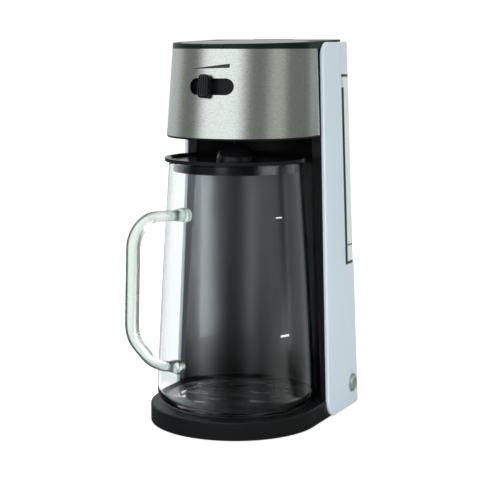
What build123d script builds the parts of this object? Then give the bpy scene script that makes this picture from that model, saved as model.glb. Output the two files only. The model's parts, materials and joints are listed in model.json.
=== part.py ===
from build123d import *

import os
from math import cos, radians, sin

# Iced tea maker: a drip brewer whose head pours strong tea on to the ice in a glass pitcher.
# Millimetres, +Z up.  The origin is on the floor at the centre of the round base front; the
# front of the machine faces -Y and +X is on the viewer's right.

os.makedirs("parts", exist_ok=True)


# ---------------------------------------------------------------- driving dimensions

machine_height = 337.0
base_radius = 76.4
base_height = 16.8
floor_gap = 0.8  # the base wall stands this much above the floor, on its feet

# The two side planes lean inwards, the front edges of the panels lean back and the rear leans in,
# all by a fixed amount for each millimetre of height.
side_half = 79.5  # half width over the panels at the floor
side_rake = 0.038
front_rake = 0.024
rear_rake = 0.013
panel_front = 29.7
panel_rear = 101.1
panel_step_y = 79.2  # rear edge of the panels beside the tank
panel_thickness = 3.9
wall = 2.2
fit_gap = 0.3  # between neighbours that don't touch

# pitcher
pitcher_y = 1.0
pitcher_foot_z = 17.1
pitcher_rim_z = 233.2
pitcher_rim_radius = 58.8
pitcher_mid_radius = 65.8
pitcher_mid_z = 125.0
pitcher_low_radius = 70.8
glass_wall = 2.6
glass_floor = 4.5
handle_angle = 20.6  # from straight ahead towards the viewer's left
pitcher_lid_radius = 62.6
pitcher_lid_top = 236.7

# the hollow in the column that the pitcher stands in, an upright cone
nest_y = 3.0
nest_low_radius = 76.0
nest_high_radius = 66.0

# head
head_floor_z = 254.2
band_low_z = 256.0
band_high_z = 331.0
head_low_centre_y = 13.5
head_high_centre_y = 18.9
band_sheet = 1.0
band_rear_y = 32.3
deck_level = 336.4  # height of the deck surface at y = 0
deck_slope = 0.03  # the deck climbs towards the rear
deck_rear_y = 88.2
lid_radius = 57.3
hinge_y = 79.5
hinge_z = 336.3
hinge_pin_radius = 1.5
drum_radius = 57.5  # outside of the round rear half of the head shell
chamber_radius = 55.0
chamber_top_z = 329.0

# strength slider
slot_z = 299.45
slot_height = 14.0
slot_length = 41.7
knob_rest_angle = -3.0

# tank
tank_floor_z = 134.4
tank_step_z = 307.6
tank_top_z = 326.0
tank_front_y = 88.6  # front of the tank's rear chamber under the cap
tank_cheek_y = 82.7  # front of the chamber beside the column
tank_curve_radius = 80.0
tank_wall = 2.2
shelf_z = 134.0
outlet_x = -25.0
outlet_z = 143.5

# water line
riser_y = 80.5
riser_radius = 2.2
riser_bore = 1.6
spout_z = 325.0
line_radius = 2.6  # outside of the metal tube and of the barbs
hose_wall = 0.9
heater_y = 92.0

# power button
button_y = 86.0
button_z = 22.0
button_hole_radius = 8.8


# ---------------------------------------------------------------- shared shapes


def side_x(z):
    """Half width of the machine at height z, to the outside of the panels."""
    return side_half - side_rake * z


def head_half(z):
    """Radius of the head's round front at height z."""
    return base_radius - side_rake * z


def front_y(z):
    """Front edge of the side panels at height z."""
    return panel_front + front_rake * z


def rear_y(z):
    """Rear face of the machine at height z."""
    return panel_rear - rear_rake * z


def deck_z(y):
    """Height of the sloping deck surface."""
    return deck_level + deck_slope * y


def head_centre_y(z):
    """Centre of the head's front arc at height z: the head leans back as it rises."""
    share = (z - band_low_z) / (band_high_z - band_low_z)
    return head_low_centre_y + (head_high_centre_y - head_low_centre_y) * share


def panel_block(inset, front, rear, low_z, high_z, mode=Mode.ADD):
    """Block between the two raked side planes; front and rear are functions of height."""
    sections = []
    for z in (low_z, high_z):
        half = side_x(z) - inset
        with BuildSketch(Plane.XY.offset(z)) as section:
            with Locations((0, (front(z) + rear(z)) / 2)):
                Rectangle(2 * half, rear(z) - front(z))
        sections.append(section.sketch)
    loft(sections, ruled=True, mode=mode)


def d_block(inset, rear, low_z, high_z, mode=Mode.ADD):
    """Head form: a half circle in front and straight sides running back to rear(z)."""
    sections = []
    for z in (low_z, high_z):
        half = head_half(z) - inset
        centre = head_centre_y(z)
        with BuildSketch(Plane.XY.offset(z)) as section:
            with BuildLine():
                Line((half, centre), (half, rear(z)))
                Line((half, rear(z)), (-half, rear(z)))
                Line((-half, rear(z)), (-half, centre))
                ThreePointArc((-half, centre), (0, centre - half), (half, centre))
            make_face()
        sections.append(section.sketch)
    loft(sections, ruled=True, mode=mode)


def upright_cone(centre_y, low_radius, high_radius, low_z, high_z, mode=Mode.ADD):
    """Upright cone or cylinder on the machine's middle plane."""
    with BuildSketch(Plane.YZ) as profile:
        with BuildLine():
            Polyline(
                (centre_y, low_z),
                (centre_y + low_radius, low_z),
                (centre_y + high_radius, high_z),
                (centre_y, high_z),
                close=True,
            )
        make_face()
    revolve(profile.sketch, axis=Axis((0, centre_y, 0), (0, 0, 1)), mode=mode)


def at(value):
    """A constant, as a function of height."""
    return lambda z: value


def save(piece, name):
    """Label the piece and write it to its own file."""
    piece.label = name
    export_step(piece, f"parts/{name}.step")


right_side = Plane(origin=(side_half, 0, 0), x_dir=(0, 1, 0), z_dir=(1, 0, side_rake))
deck_plane = Plane(origin=(0, 0, deck_level), x_dir=(1, 0, 0), z_dir=(0, -deck_slope, 1))
lid_centre_y = head_high_centre_y
lid_plane = Plane(
    origin=(0, lid_centre_y, deck_z(lid_centre_y)),
    x_dir=(1, 0, 0),
    z_dir=(0, -deck_slope, 1),
)
button_plane = Plane(
    origin=(side_x(button_z), button_y, button_z),
    x_dir=(0, 1, 0),
    z_dir=(1, 0, side_rake),
)


# ---------------------------------------------------------------- side panels

panel_corners = [
    (front_y(0), floor_gap),
    (front_y(machine_height), machine_height),
    (panel_step_y, machine_height),
    (panel_step_y, shelf_z),
    (rear_y(shelf_z), shelf_z),
    (rear_y(0), floor_gap),
]
panel_corner_radii = [15, 13, 2, 1.5, 1.5, 3]
panel_edge_round = 1.6

with BuildPart() as panel_blank:
    with BuildSketch(right_side):
        with BuildLine():
            FilletPolyline(*panel_corners, radius=panel_corner_radii, close=True)
        make_face()
    extrude(amount=-panel_thickness)

with BuildPart() as panel_recess:
    with BuildSketch(right_side.offset(-panel_thickness)):
        with BuildLine():
            FilletPolyline(*panel_corners, radius=panel_corner_radii, close=True)
        make_face()
    extrude(amount=3 * panel_thickness)

with BuildPart() as side_panel_right:
    add(panel_blank.part)
    outer_face = faces().sort_by(Axis.X)[-1]
    fillet(outer_face.edges(), panel_edge_round)
    with BuildSketch(button_plane):
        Circle(button_hole_radius)
    extrude(amount=-2 * panel_thickness, mode=Mode.SUBTRACT)
save(side_panel_right.part, "side_panel_right")

with BuildPart() as side_panel_left:
    add(mirror(panel_blank.part, about=Plane.YZ, mode=Mode.PRIVATE))
    outer_face = faces().sort_by(Axis.X)[0]
    fillet(outer_face.edges(), panel_edge_round)
save(side_panel_left.part, "side_panel_left")


# ---------------------------------------------------------------- base

cover_thickness = 2.3
inner_rear_y = 101.4  # front face of the rear cover
plate_thickness = 2.5
groove_radius = 65.0
groove_width = 1.8
groove_depth = 0.7
foot_positions = [(0, 0), (-42, -42), (42, -42), (-58, 84), (58, 84)]
base_screw_positions = [(-30, -58), (30, -58), (-62, 60), (62, 60)]
boss_radius = 4.2
screw_radius = 1.5

with BuildPart() as base_shell:
    with BuildSketch(Plane.XY.offset(floor_gap)):
        with BuildLine():
            Line((base_radius, 0), (base_radius, inner_rear_y))
            Line((base_radius, inner_rear_y), (-base_radius, inner_rear_y))
            Line((-base_radius, inner_rear_y), (-base_radius, 0))
            ThreePointArc((-base_radius, 0), (0, -base_radius), (base_radius, 0))
        make_face()
    extrude(amount=base_height - floor_gap)
    top_edges = faces().sort_by(Axis.Z)[-1].edges()
    fillet(top_edges.filter_by(GeomType.CIRCLE), 1.6)
    # hollow from below
    with BuildSketch(Plane.XY.offset(floor_gap)):
        inner_half = base_radius - panel_thickness - wall - 1
        with BuildLine():
            Line((inner_half, 0), (inner_half, inner_rear_y - wall))
            Line((inner_half, inner_rear_y - wall), (-inner_half, inner_rear_y - wall))
            Line((-inner_half, inner_rear_y - wall), (-inner_half, 0))
            ThreePointArc((-inner_half, 0), (0, -inner_half), (inner_half, 0))
        make_face()
    extrude(amount=base_height - floor_gap - plate_thickness, mode=Mode.SUBTRACT)
    # way through for the wiring and the lower end of the heater, inside the column
    with BuildSketch(Plane.XY.offset(base_height)):
        with Locations((0, 91)):
            Rectangle(124, 15)
    extrude(amount=-2 * plate_thickness, mode=Mode.SUBTRACT)
    # ring groove round the pitcher's foot
    with BuildSketch(Plane.YZ):
        with Locations((groove_radius, base_height)):
            Rectangle(groove_width, 2 * groove_depth)
    revolve(axis=Axis.Z, mode=Mode.SUBTRACT)
    # screw bosses hang from the plate
    with BuildSketch(Plane.XY.offset(base_height - plate_thickness)):
        with Locations(base_screw_positions):
            Circle(boss_radius)
            Circle(screw_radius, mode=Mode.SUBTRACT)
    extrude(amount=-9)
    # room for the power button's ring
    with BuildSketch(button_plane):
        Circle(button_hole_radius)
    extrude(amount=-14, mode=Mode.SUBTRACT)
    # the side panels are let into the sides
    add(panel_recess.part, mode=Mode.SUBTRACT)
    add(mirror(panel_recess.part, about=Plane.YZ, mode=Mode.PRIVATE), mode=Mode.SUBTRACT)
save(base_shell.part, "base_shell")

bottom_plate_z = base_height - plate_thickness - 9 - 2.0
with BuildPart() as bottom_plate:
    with BuildSketch(Plane.XY.offset(bottom_plate_z)):
        plate_half = inner_half - fit_gap
        plate_rear_y = inner_rear_y - wall - fit_gap
        with BuildLine():
            Line((plate_half, 0), (plate_half, plate_rear_y))
            Line((plate_half, plate_rear_y), (-plate_half, plate_rear_y))
            Line((-plate_half, plate_rear_y), (-plate_half, 0))
            ThreePointArc((-plate_half, 0), (0, -plate_half), (plate_half, 0))
        make_face()
        with Locations(base_screw_positions):
            Circle(screw_radius + 0.2, mode=Mode.SUBTRACT)
        with Locations((0, 40)):
            with GridLocations(0, 9, 1, 5):
                SlotOverall(50, 3, mode=Mode.SUBTRACT)
    extrude(amount=2.0)
save(bottom_plate.part, "bottom_plate")

foot_radius = 8.0
with BuildPart() as foot_pads:
    for foot_x, foot_y in foot_positions:
        with BuildSketch(Plane.XY):
            with Locations((foot_x, foot_y)):
                Circle(foot_radius)
        extrude(amount=bottom_plate_z)
    fillet(faces().group_by(Axis.Z)[0].edges(), 0.6)
save(foot_pads.part, "foot_pads")

with BuildPart() as bottom_screws:
    for screw_x, screw_y in base_screw_positions:
        with BuildSketch(Plane.XY.offset(bottom_plate_z)):
            with Locations((screw_x, screw_y)):
                Circle(3.0)
        extrude(amount=-1.6)
        with BuildSketch(Plane.XY.offset(bottom_plate_z)):
            with Locations((screw_x, screw_y)):
                Circle(screw_radius)
        extrude(amount=9.5)
save(bottom_screws.part, "bottom_screws")


# ---------------------------------------------------------------- column

column_inset = panel_thickness + 0.1
column_wall_inset = column_inset + 2.0
column_cheek_y = tank_cheek_y - 0.4  # rear ends of the column's walls beside the tank


def column_front(z):
    """Front faces of the column's cheeks, just behind the edges of the panels."""
    return front_y(z) + 0.3


def column_inner_front(z):
    """Back of the cheeks' front walls."""
    return column_front(z) + wall


with BuildPart() as nest_backing:
    # the round wall behind the pitcher, as a solid cone with its own thickness added
    upright_cone(nest_y, nest_low_radius + wall, nest_high_radius + wall, base_height, head_floor_z)

with BuildPart() as column_space:
    # the room inside the column behind the nest wall, open at the rear
    panel_block(column_wall_inset, column_inner_front, at(130), base_height, machine_height + 5)
    add(nest_backing.part, mode=Mode.SUBTRACT)

with BuildPart() as column_housing:
    panel_block(column_inset, column_front, at(inner_rear_y), base_height, shelf_z)
    panel_block(column_inset, column_front, at(column_cheek_y), shelf_z, band_high_z)
    upright_cone(nest_y, nest_low_radius, nest_high_radius, base_height, head_floor_z, Mode.SUBTRACT)
    add(column_space.part, mode=Mode.SUBTRACT)
    # above the nest only the thin side walls stay
    panel_block(column_wall_inset, at(0), at(130), head_floor_z, machine_height, Mode.SUBTRACT)
    # shelf under the tank
    panel_block(column_wall_inset, column_inner_front, at(inner_rear_y), shelf_z - 2.6, shelf_z)
    # flange that closes the top of the nest wall under the head
    panel_block(column_wall_inset, column_inner_front, at(51.2), head_floor_z - wall, head_floor_z)
    upright_cone(nest_y, nest_low_radius, nest_high_radius, base_height, head_floor_z, Mode.SUBTRACT)
    # ways through the shelf for the socket and the riser, and the hole for the button
    with BuildSketch(Plane.XY.offset(shelf_z)):
        with Locations((outlet_x, 78.8)):
            Rectangle(12.4, 8.0)
        with Locations((0, riser_y)):
            Circle(riser_radius + 0.4)
    extrude(amount=-4, mode=Mode.SUBTRACT)
    with BuildSketch(button_plane):
        Circle(button_hole_radius)
    extrude(amount=-20, mode=Mode.SUBTRACT)
save(column_housing.part, "column_housing")


# ---------------------------------------------------------------- rear cover

rear_screw_positions = [(-58, 118), (58, 118), (-62, 24), (62, 24)]
gland_x = -40.0
gland_z = 26.0

with BuildPart() as rear_cover:
    panel_block(column_inset, at(inner_rear_y), at(inner_rear_y + cover_thickness), floor_gap, shelf_z)
    with BuildSketch(Plane.XZ.offset(-inner_rear_y - cover_thickness)):
        with Locations((0, 96)):
            with GridLocations(0, 8, 1, 5):
                SlotOverall(60, 3.2)
        with Locations((gland_x, gland_z)):
            Circle(6.0)
        with Locations(rear_screw_positions):
            Circle(screw_radius + 0.2)
    extrude(amount=2 * cover_thickness, mode=Mode.SUBTRACT)
save(rear_cover.part, "rear_cover")

with BuildPart() as rear_screws:
    with BuildSketch(Plane.XZ.offset(-inner_rear_y - cover_thickness)):
        with Locations(rear_screw_positions):
            Circle(3.0)
    extrude(amount=-1.4)
    with BuildSketch(Plane.XZ.offset(-inner_rear_y - cover_thickness)):
        with Locations(rear_screw_positions):
            Circle(screw_radius)
    extrude(amount=cover_thickness + 5)
save(rear_screws.part, "rear_screws")

with BuildPart() as cord_gland:
    gland_axis = Plane.XZ.offset(-inner_rear_y - cover_thickness)
    with BuildSketch(gland_axis):
        with Locations((gland_x, gland_z)):
            Circle(8.0)
    extrude(amount=-2.0)
    with BuildSketch(gland_axis):
        with Locations((gland_x, gland_z)):
            Circle(6.0)
    extrude(amount=cover_thickness + 4)
    with BuildSketch(gland_axis.offset(2.0)):
        with Locations((gland_x, gland_z)):
            Circle(3.4)
    extrude(amount=20, both=True, mode=Mode.SUBTRACT)
save(cord_gland.part, "cord_gland")


# ---------------------------------------------------------------- head shell and band

head_wall = 2.2
cheek_inset = column_wall_inset + 0.4  # the shell's rear cheeks stand between the column's walls
drop_hole_radius = 12.0
shell_rear_y = band_rear_y + 0.8  # rear end of the head shell's wide front part


with BuildPart() as slot_cutter:
    with BuildSketch(Plane.XZ):
        with Locations((0, slot_z)):
            SlotOverall(slot_length, slot_height)
    extrude(amount=80)

with BuildPart() as head_band:
    d_block(0, at(band_rear_y), band_low_z, band_high_z)
    d_block(band_sheet, at(60), band_low_z, band_high_z, Mode.SUBTRACT)
    add(slot_cutter.part, mode=Mode.SUBTRACT)
save(head_band.part, "head_band")

with BuildPart() as head_housing:
    d_block(0.2, at(shell_rear_y), head_floor_z, band_low_z)
    lip_edges = faces().sort_by(Axis.Z)[0].edges()
    fillet(lip_edges, 0.8)
    d_block(band_sheet, at(shell_rear_y), band_low_z, band_high_z)
    panel_block(cheek_inset, at(30), at(42), head_floor_z, band_high_z)
    upright_cone(lid_centre_y, drum_radius, drum_radius, head_floor_z, band_high_z)
    # hollow, open at the top
    shell_floor_z = head_floor_z + head_wall
    shell_void_front = head_wall + band_sheet
    d_block(shell_void_front, at(30), shell_floor_z, band_high_z + 5, Mode.SUBTRACT)
    panel_block(cheek_inset + head_wall, at(25), at(40), shell_floor_z, band_high_z + 5, Mode.SUBTRACT)
    drum_void = drum_radius - head_wall
    upright_cone(lid_centre_y, drum_void, drum_void, shell_floor_z, band_high_z + 5, Mode.SUBTRACT)
    add(slot_cutter.part, mode=Mode.SUBTRACT)
    # the drip stop comes through the floor, and the spout through the rear of the drum
    with BuildSketch(Plane.XY.offset(head_floor_z)):
        with Locations((0, pitcher_y)):
            Circle(drop_hole_radius)
    extrude(amount=6, both=True, mode=Mode.SUBTRACT)
    with BuildSketch(Plane.XZ.offset(-90)):
        with Locations((0, spout_z)):
            Circle(3.4)
    extrude(amount=30, mode=Mode.SUBTRACT)
save(head_housing.part, "head_housing")

# ---------------------------------------------------------------- top cover and lid

lid_plate = 2.6
lid_well_depth = 2.9
lid_gap = 0.5
ledge_radius = 54.5
knuckle_half = 19.6
pocket_half = 20.0
pin_half = 27.0
tab_half = 10.5

with BuildPart() as top_cover:
    d_block(0, at(shell_rear_y), band_high_z, machine_height + 6)
    panel_block(column_inset, at(30), at(deck_rear_y - 0.2), band_high_z, machine_height + 6)
    split(bisect_by=deck_plane, keep=Keep.BOTTOM)
    top_edges = faces().sort_by(Axis.Z)[-1].edges()
    fillet(top_edges, 0.9)
    # the lid's well with its ledge, and the opening into the brew chamber
    with BuildSketch(lid_plane):
        Circle(lid_radius + lid_gap)
    extrude(amount=-lid_well_depth, mode=Mode.SUBTRACT)
    with BuildSketch(lid_plane):
        Circle(ledge_radius)
    extrude(amount=-15, mode=Mode.SUBTRACT)
    # finger scoop at the front
    with BuildSketch(lid_plane):
        with Locations((0, -lid_radius)):
            Rectangle(2 * tab_half + 1.0, 14)
    extrude(amount=-lid_well_depth, mode=Mode.SUBTRACT)
    # pocket for the hinge, between two ears of the cover
    with BuildSketch(Plane.XY.offset(band_high_z)):
        with Locations((0, hinge_y - 2.6)):
            Rectangle(2 * pocket_half, 14.8)
    extrude(amount=15, mode=Mode.SUBTRACT)
    with BuildSketch(Plane.YZ.offset(-pin_half)):
        with Locations((hinge_y, hinge_z)):
            Circle(hinge_pin_radius)
    extrude(amount=2 * pin_half, mode=Mode.SUBTRACT)
save(top_cover.part, "top_cover")

with BuildPart() as lid_hinge_pin:
    with BuildSketch(Plane.YZ.offset(-pin_half)):
        with Locations((hinge_y, hinge_z)):
            Circle(hinge_pin_radius)
    extrude(amount=2 * pin_half)
save(lid_hinge_pin.part, "lid_hinge_pin")

lid_crown = 0.9
knuckle_radius = 2.9
with BuildPart() as brew_lid:
    # crowned disc, revolved round the normal of the sloping deck
    lid_section = Plane(origin=lid_plane.origin, x_dir=(1, 0, 0), z_dir=(0, -1, -deck_slope))
    with BuildSketch(lid_section):
        with BuildLine():
            Line((0, -lid_plate), (lid_radius, -lid_plate))
            Line((lid_radius, -lid_plate), (lid_radius, -0.8))
            ThreePointArc((lid_radius, -0.8), (lid_radius - 0.25, -0.25), (lid_radius - 0.8, 0))
            ThreePointArc((lid_radius - 0.8, 0), (lid_radius / 2, 0.72 * lid_crown), (0, lid_crown))
            Line((0, lid_crown), (0, -lid_plate))
        make_face()
    revolve(axis=Axis(lid_plane.origin, lid_plane.z_dir))
    # finger tab in front
    with BuildSketch(lid_plane):
        with Locations((0, -lid_radius)):
            Rectangle(2 * tab_half, 11)
    extrude(amount=-lid_plate)
    # hinge knuckle
    with BuildSketch(Plane.YZ.offset(-knuckle_half)):
        with Locations((hinge_y, hinge_z)):
            Circle(knuckle_radius)
        with Locations((hinge_y - 4, hinge_z + 1.0)):
            Rectangle(8, 2.4)
    extrude(amount=2 * knuckle_half)
    with BuildSketch(Plane.YZ.offset(-knuckle_half - 1)):
        with Locations((hinge_y, hinge_z)):
            Circle(hinge_pin_radius + 0.06)
    extrude(amount=2 * knuckle_half + 2, mode=Mode.SUBTRACT)
save(brew_lid.part, "brew_lid")

tray_radius = 36.0
tray_depth = 11.0
tray_wall = 1.8
with BuildPart() as spray_tray:
    with BuildSketch(lid_plane.offset(-lid_plate)):
        Circle(tray_radius)
    extrude(amount=-tray_depth)
    with BuildSketch(lid_plane.offset(-lid_plate - 1.6)):
        Circle(tray_radius - tray_wall)
    extrude(amount=-(tray_depth - 1.6 - tray_wall), mode=Mode.SUBTRACT)
    # inlet for the spout's jet at the rear
    with BuildSketch(lid_plane.offset(-lid_plate - 1.6)):
        with Locations((0, tray_radius)):
            Rectangle(14, 8)
    extrude(amount=-(tray_depth - 1.6 - tray_wall), mode=Mode.SUBTRACT)
    # shower holes in two rings
    with BuildSketch(lid_plane.offset(-lid_plate)):
        with PolarLocations(12, 6):
            Circle(1.4)
        with PolarLocations(24, 12):
            Circle(1.4)
    extrude(amount=-tray_depth - 1, mode=Mode.SUBTRACT)
save(spray_tray.part, "spray_tray")


# ---------------------------------------------------------------- brew chamber and filter

chamber_wall = 1.8
chamber_floor_z = shell_floor_z + 0.2
gate_window_z = 313.0
gate_window_height = 6.5
gate_window_half_width = 24.0
nozzle_hole_radius = 9.2

with BuildPart() as brew_chamber:
    upright_cone(lid_centre_y, chamber_radius, chamber_radius, chamber_floor_z, chamber_top_z)
    inner = chamber_radius - chamber_wall
    upright_cone(lid_centre_y, inner, inner, chamber_floor_z + 2, chamber_top_z + 1, Mode.SUBTRACT)
    with BuildSketch(Plane.XY.offset(chamber_floor_z)):
        with Locations((0, pitcher_y)):
            Circle(nozzle_hole_radius)
    extrude(amount=6, both=True, mode=Mode.SUBTRACT)
    # window that the strength gate swings in, and the notch for the spout
    with BuildSketch(Plane.XZ):
        with Locations((0, gate_window_z + gate_window_height / 2)):
            Rectangle(2 * gate_window_half_width, gate_window_height)
    extrude(amount=60, mode=Mode.SUBTRACT)
    with BuildSketch(Plane.XZ.offset(-90)):
        with Locations((0, 328.0)):
            Rectangle(6.8, 12.8)
    extrude(amount=30, mode=Mode.SUBTRACT)
save(brew_chamber.part, "brew_chamber")

basket_top_z = 309.0
basket_floor_z = 266.0
basket_top_radius = 49.0
basket_floor_radius = 30.0
basket_flange_radius = 52.4
basket_wall = 1.8
nozzle_radius = 8.6
nozzle_low_z = 256.0
nozzle_bore = 5.6
seat_bore = 3.0
basket_y = lid_centre_y

with BuildPart() as filter_basket:
    with BuildSketch(Plane.YZ):
        with BuildLine():
            Polyline(
                (basket_y, basket_floor_z),
                (basket_y + basket_floor_radius, basket_floor_z),
                (basket_y + basket_top_radius, basket_top_z - 2),
                (basket_y + basket_flange_radius, basket_top_z - 2),
                (basket_y + basket_flange_radius, basket_top_z),
                (basket_y + basket_top_radius - basket_wall, basket_top_z),
                (basket_y + basket_floor_radius - basket_wall, basket_floor_z + 2),
                (basket_y, basket_floor_z + 2),
                close=True,
            )
        make_face()
    revolve(axis=Axis((0, basket_y, 0), (0, 0, 1)))
    # outlet nozzle over the middle of the pitcher
    with BuildSketch(Plane.XY.offset(nozzle_low_z)):
        with Locations((0, pitcher_y)):
            Circle(nozzle_radius)
    extrude(amount=basket_floor_z + 2 - nozzle_low_z)
    with BuildSketch(Plane.XY.offset(nozzle_low_z)):
        with Locations((0, pitcher_y)):
            Circle(nozzle_bore)
    extrude(amount=basket_floor_z - 2.5 - nozzle_low_z, mode=Mode.SUBTRACT)
    with BuildSketch(Plane.XY.offset(nozzle_low_z)):
        with Locations((0, pitcher_y)):
            Circle(seat_bore)
    extrude(amount=20, mode=Mode.SUBTRACT)
    # bypass opening in the flange in front, under the strength gate
    with BuildSketch(Plane.XY.offset(basket_top_z)):
        with Locations((3, basket_y - 50.2)):
            SlotOverall(9, 3)
    extrude(amount=-6, mode=Mode.SUBTRACT)
    # feet that stand on the floor of the chamber
    with BuildSketch(Plane.XY.offset(chamber_floor_z + 2)):
        with Locations((0, basket_y)):
            with PolarLocations(24, 3, start_angle=90):
                Circle(2.5)
    extrude(amount=basket_floor_z - chamber_floor_z - 2)
save(filter_basket.part, "filter_basket")

mesh_gap = 1.2
with BuildPart() as mesh_filter:
    mesh_top_radius = basket_top_radius - basket_wall - mesh_gap
    mesh_low_radius = basket_floor_radius - basket_wall - mesh_gap
    mesh_low_z = basket_floor_z + 9
    with BuildSketch(Plane.YZ):
        with BuildLine():
            Polyline(
                (basket_y, mesh_low_z),
                (basket_y + mesh_low_radius, mesh_low_z),
                (basket_y + mesh_top_radius, basket_top_z - 1),
                (basket_y + mesh_top_radius - 0.8, basket_top_z - 1),
                (basket_y + mesh_low_radius - 0.8, mesh_low_z + 0.8),
                (basket_y, mesh_low_z + 0.8),
                close=True,
            )
        make_face()
    revolve(axis=Axis((0, basket_y, 0), (0, 0, 1)))
save(mesh_filter.part, "mesh_filter")

# ---------------------------------------------------------------- drip stop

dome_top_z = 248.0
plunger_tip_z = dome_top_z + 1.2
valve_disc_z = basket_floor_z + 2 + 0.8
with BuildPart() as drip_plunger:
    with BuildSketch(Plane.YZ):
        with BuildLine():
            Polyline(
                (pitcher_y, plunger_tip_z),
                (pitcher_y + 3.2, plunger_tip_z),
                (pitcher_y + 4.8, plunger_tip_z + 1.6),
                (pitcher_y + 4.8, plunger_tip_z + 4.2),
                (pitcher_y + 1.8, plunger_tip_z + 4.2),
                (pitcher_y + 1.8, valve_disc_z),
                (pitcher_y + 5.4, valve_disc_z),
                (pitcher_y + 5.4, valve_disc_z + 1.6),
                (pitcher_y, valve_disc_z + 1.6),
                close=True,
            )
        make_face()
    revolve(axis=Axis((0, pitcher_y, 0), (0, 0, 1)))
save(drip_plunger.part, "drip_plunger")

with BuildPart() as drip_seal:
    with BuildSketch(Plane.XY.offset(valve_disc_z - 0.75)):
        with Locations((0, pitcher_y)):
            Circle(5.2)
            Circle(1.85, mode=Mode.SUBTRACT)
    extrude(amount=0.75)
save(drip_seal.part, "drip_seal")


def coil_spring(base, radius, wire, pitch, height):
    """Open coil spring that stands on the given plane."""
    with BuildPart() as coil:
        with BuildLine():
            turns = Helix(pitch=pitch, height=height, radius=radius)
        with BuildSketch(Plane(origin=turns @ 0, z_dir=turns % 0)) as section:
            Circle(wire)
        sweep(section.sketch, path=turns, is_frenet=True)
    return base.from_local_coords(coil.part)


spring_plane = Plane(origin=(0, pitcher_y, plunger_tip_z + 4.6))
drip_spring = coil_spring(spring_plane, 3.8, 0.4, 2.6, basket_floor_z - 3.4 - plunger_tip_z - 4.6)
save(drip_spring, "drip_spring")


# ---------------------------------------------------------------- strength slider

slide_centre_y = head_centre_y(slot_z)
slider_radius = 59.3
slider_sheet = 1.2
slider_low_z = 287.3
slider_high_z = 311.5
slider_half_angle = 34.0
guide_half_angle = 52.0
gate_low_z = 313.8
gate_sheet = 2.4
gate_half_angle = 6.0
gate_inner_radius = 45.0


def radial_plane(angle, centre_y):
    """Upright plane through the vertical axis at centre_y; its x points out at the given angle."""
    turn = radians(angle)
    return Plane(
        origin=(0, centre_y, 0),
        x_dir=(sin(turn), -cos(turn), 0),
        z_dir=(-cos(turn), -sin(turn), 0),
    )


def swung(outline, start_angle, end_angle):
    """Outline of (radius, height) points, revolved about the slider's axis between two angles."""
    with BuildSketch(radial_plane(start_angle, slide_centre_y)) as profile:
        with BuildLine():
            Polyline(*outline, close=True)
        make_face()
    slide_axis = Axis((0, slide_centre_y, 0), (0, 0, 1))
    revolve(profile.sketch, axis=slide_axis, revolution_arc=end_angle - start_angle)


with BuildPart() as slider_plate:
    slider_inner = slider_radius - slider_sheet
    swung(
        [
            (slider_inner, slider_low_z),
            (slider_radius, slider_low_z),
            (slider_radius, slider_high_z),
            (slider_inner, slider_high_z),
        ],
        knob_rest_angle - slider_half_angle,
        knob_rest_angle + slider_half_angle,
    )
    # gate on a short post, reaching in over the bypass opening of the basket
    swung(
        [
            (slider_inner, slider_high_z - 1),
            (slider_radius, slider_high_z - 1),
            (slider_radius, gate_low_z + gate_sheet),
            (gate_inner_radius, gate_low_z + gate_sheet),
            (gate_inner_radius, gate_low_z),
            (slider_inner, gate_low_z),
        ],
        knob_rest_angle - gate_half_angle,
        knob_rest_angle + gate_half_angle,
    )
save(slider_plate.part, "slider_plate")

with BuildPart() as slider_guide:
    swung(
        [
            (slider_radius - 2.6, slider_low_z - 1.9),
            (slider_radius + 2.4, slider_low_z - 1.9),
            (slider_radius + 2.4, slider_low_z + 2.1),
            (slider_radius + 0.4, slider_low_z + 2.1),
            (slider_radius + 0.4, slider_low_z - 0.3),
            (slider_radius - 1.6, slider_low_z - 0.3),
            (slider_radius - 1.6, slider_low_z + 2.1),
            (slider_radius - 2.6, slider_low_z + 2.1),
        ],
        -guide_half_angle,
        guide_half_angle,
    )
save(slider_guide.part, "slider_guide")

knob_width = 10.0
knob_tall = 20.0
knob_deep = 6.4
knob_gap = 0.6
stem_size = 8.0
front_lean = side_rake + (head_high_centre_y - head_low_centre_y) / (band_high_z - band_low_z)
knob_turn = radians(knob_rest_angle)
knob_plane = Plane(
    origin=(
        head_half(slot_z) * sin(knob_turn),
        slide_centre_y - head_half(slot_z) * cos(knob_turn),
        slot_z,
    ),
    x_dir=(cos(knob_turn), sin(knob_turn), 0),
    z_dir=(sin(knob_turn), -cos(knob_turn), front_lean),
)

with BuildPart() as strength_knob:
    with BuildSketch(knob_plane.offset(knob_gap)):
        RectangleRounded(knob_width, knob_tall, 3.0)
    extrude(amount=knob_deep)
    knob_front = faces().sort_by(Axis.Y)[0]
    fillet(knob_front.edges(), 1.8)
    # grip ribs
    with BuildSketch(knob_plane.offset(knob_gap + knob_deep)):
        with GridLocations(2.1, 0, 4, 1):
            SlotOverall(knob_tall - 5, 0.9, rotation=90)
    extrude(amount=-0.7, mode=Mode.SUBTRACT)
    with BuildSketch(knob_plane.offset(knob_gap)):
        Rectangle(stem_size, stem_size)
    extrude(amount=-5.2)
save(strength_knob.part, "strength_knob")


# ---------------------------------------------------------------- water tank

tank_inset = column_wall_inset + 0.4
tank_horn_y = 46.0
tank_back_y = tank_front_y + tank_wall  # inside of the rear chamber's front wall
spigot_radius = 4.2
spigot_bore = 2.8
spigot_tip_y = 77.6
alcove_y = 83.0
alcove_top_z = 152.0
socket_width = 14.0
cap_gap = 0.4
ear_inset = 3.7


def tank_inner_rear(z):
    """Inside of the tank's rear wall."""
    return rear_y(z) - tank_wall


def cap_inner_rear(z):
    """Inside of the cap's rear wall."""
    return rear_y(z) - 2.0


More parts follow.
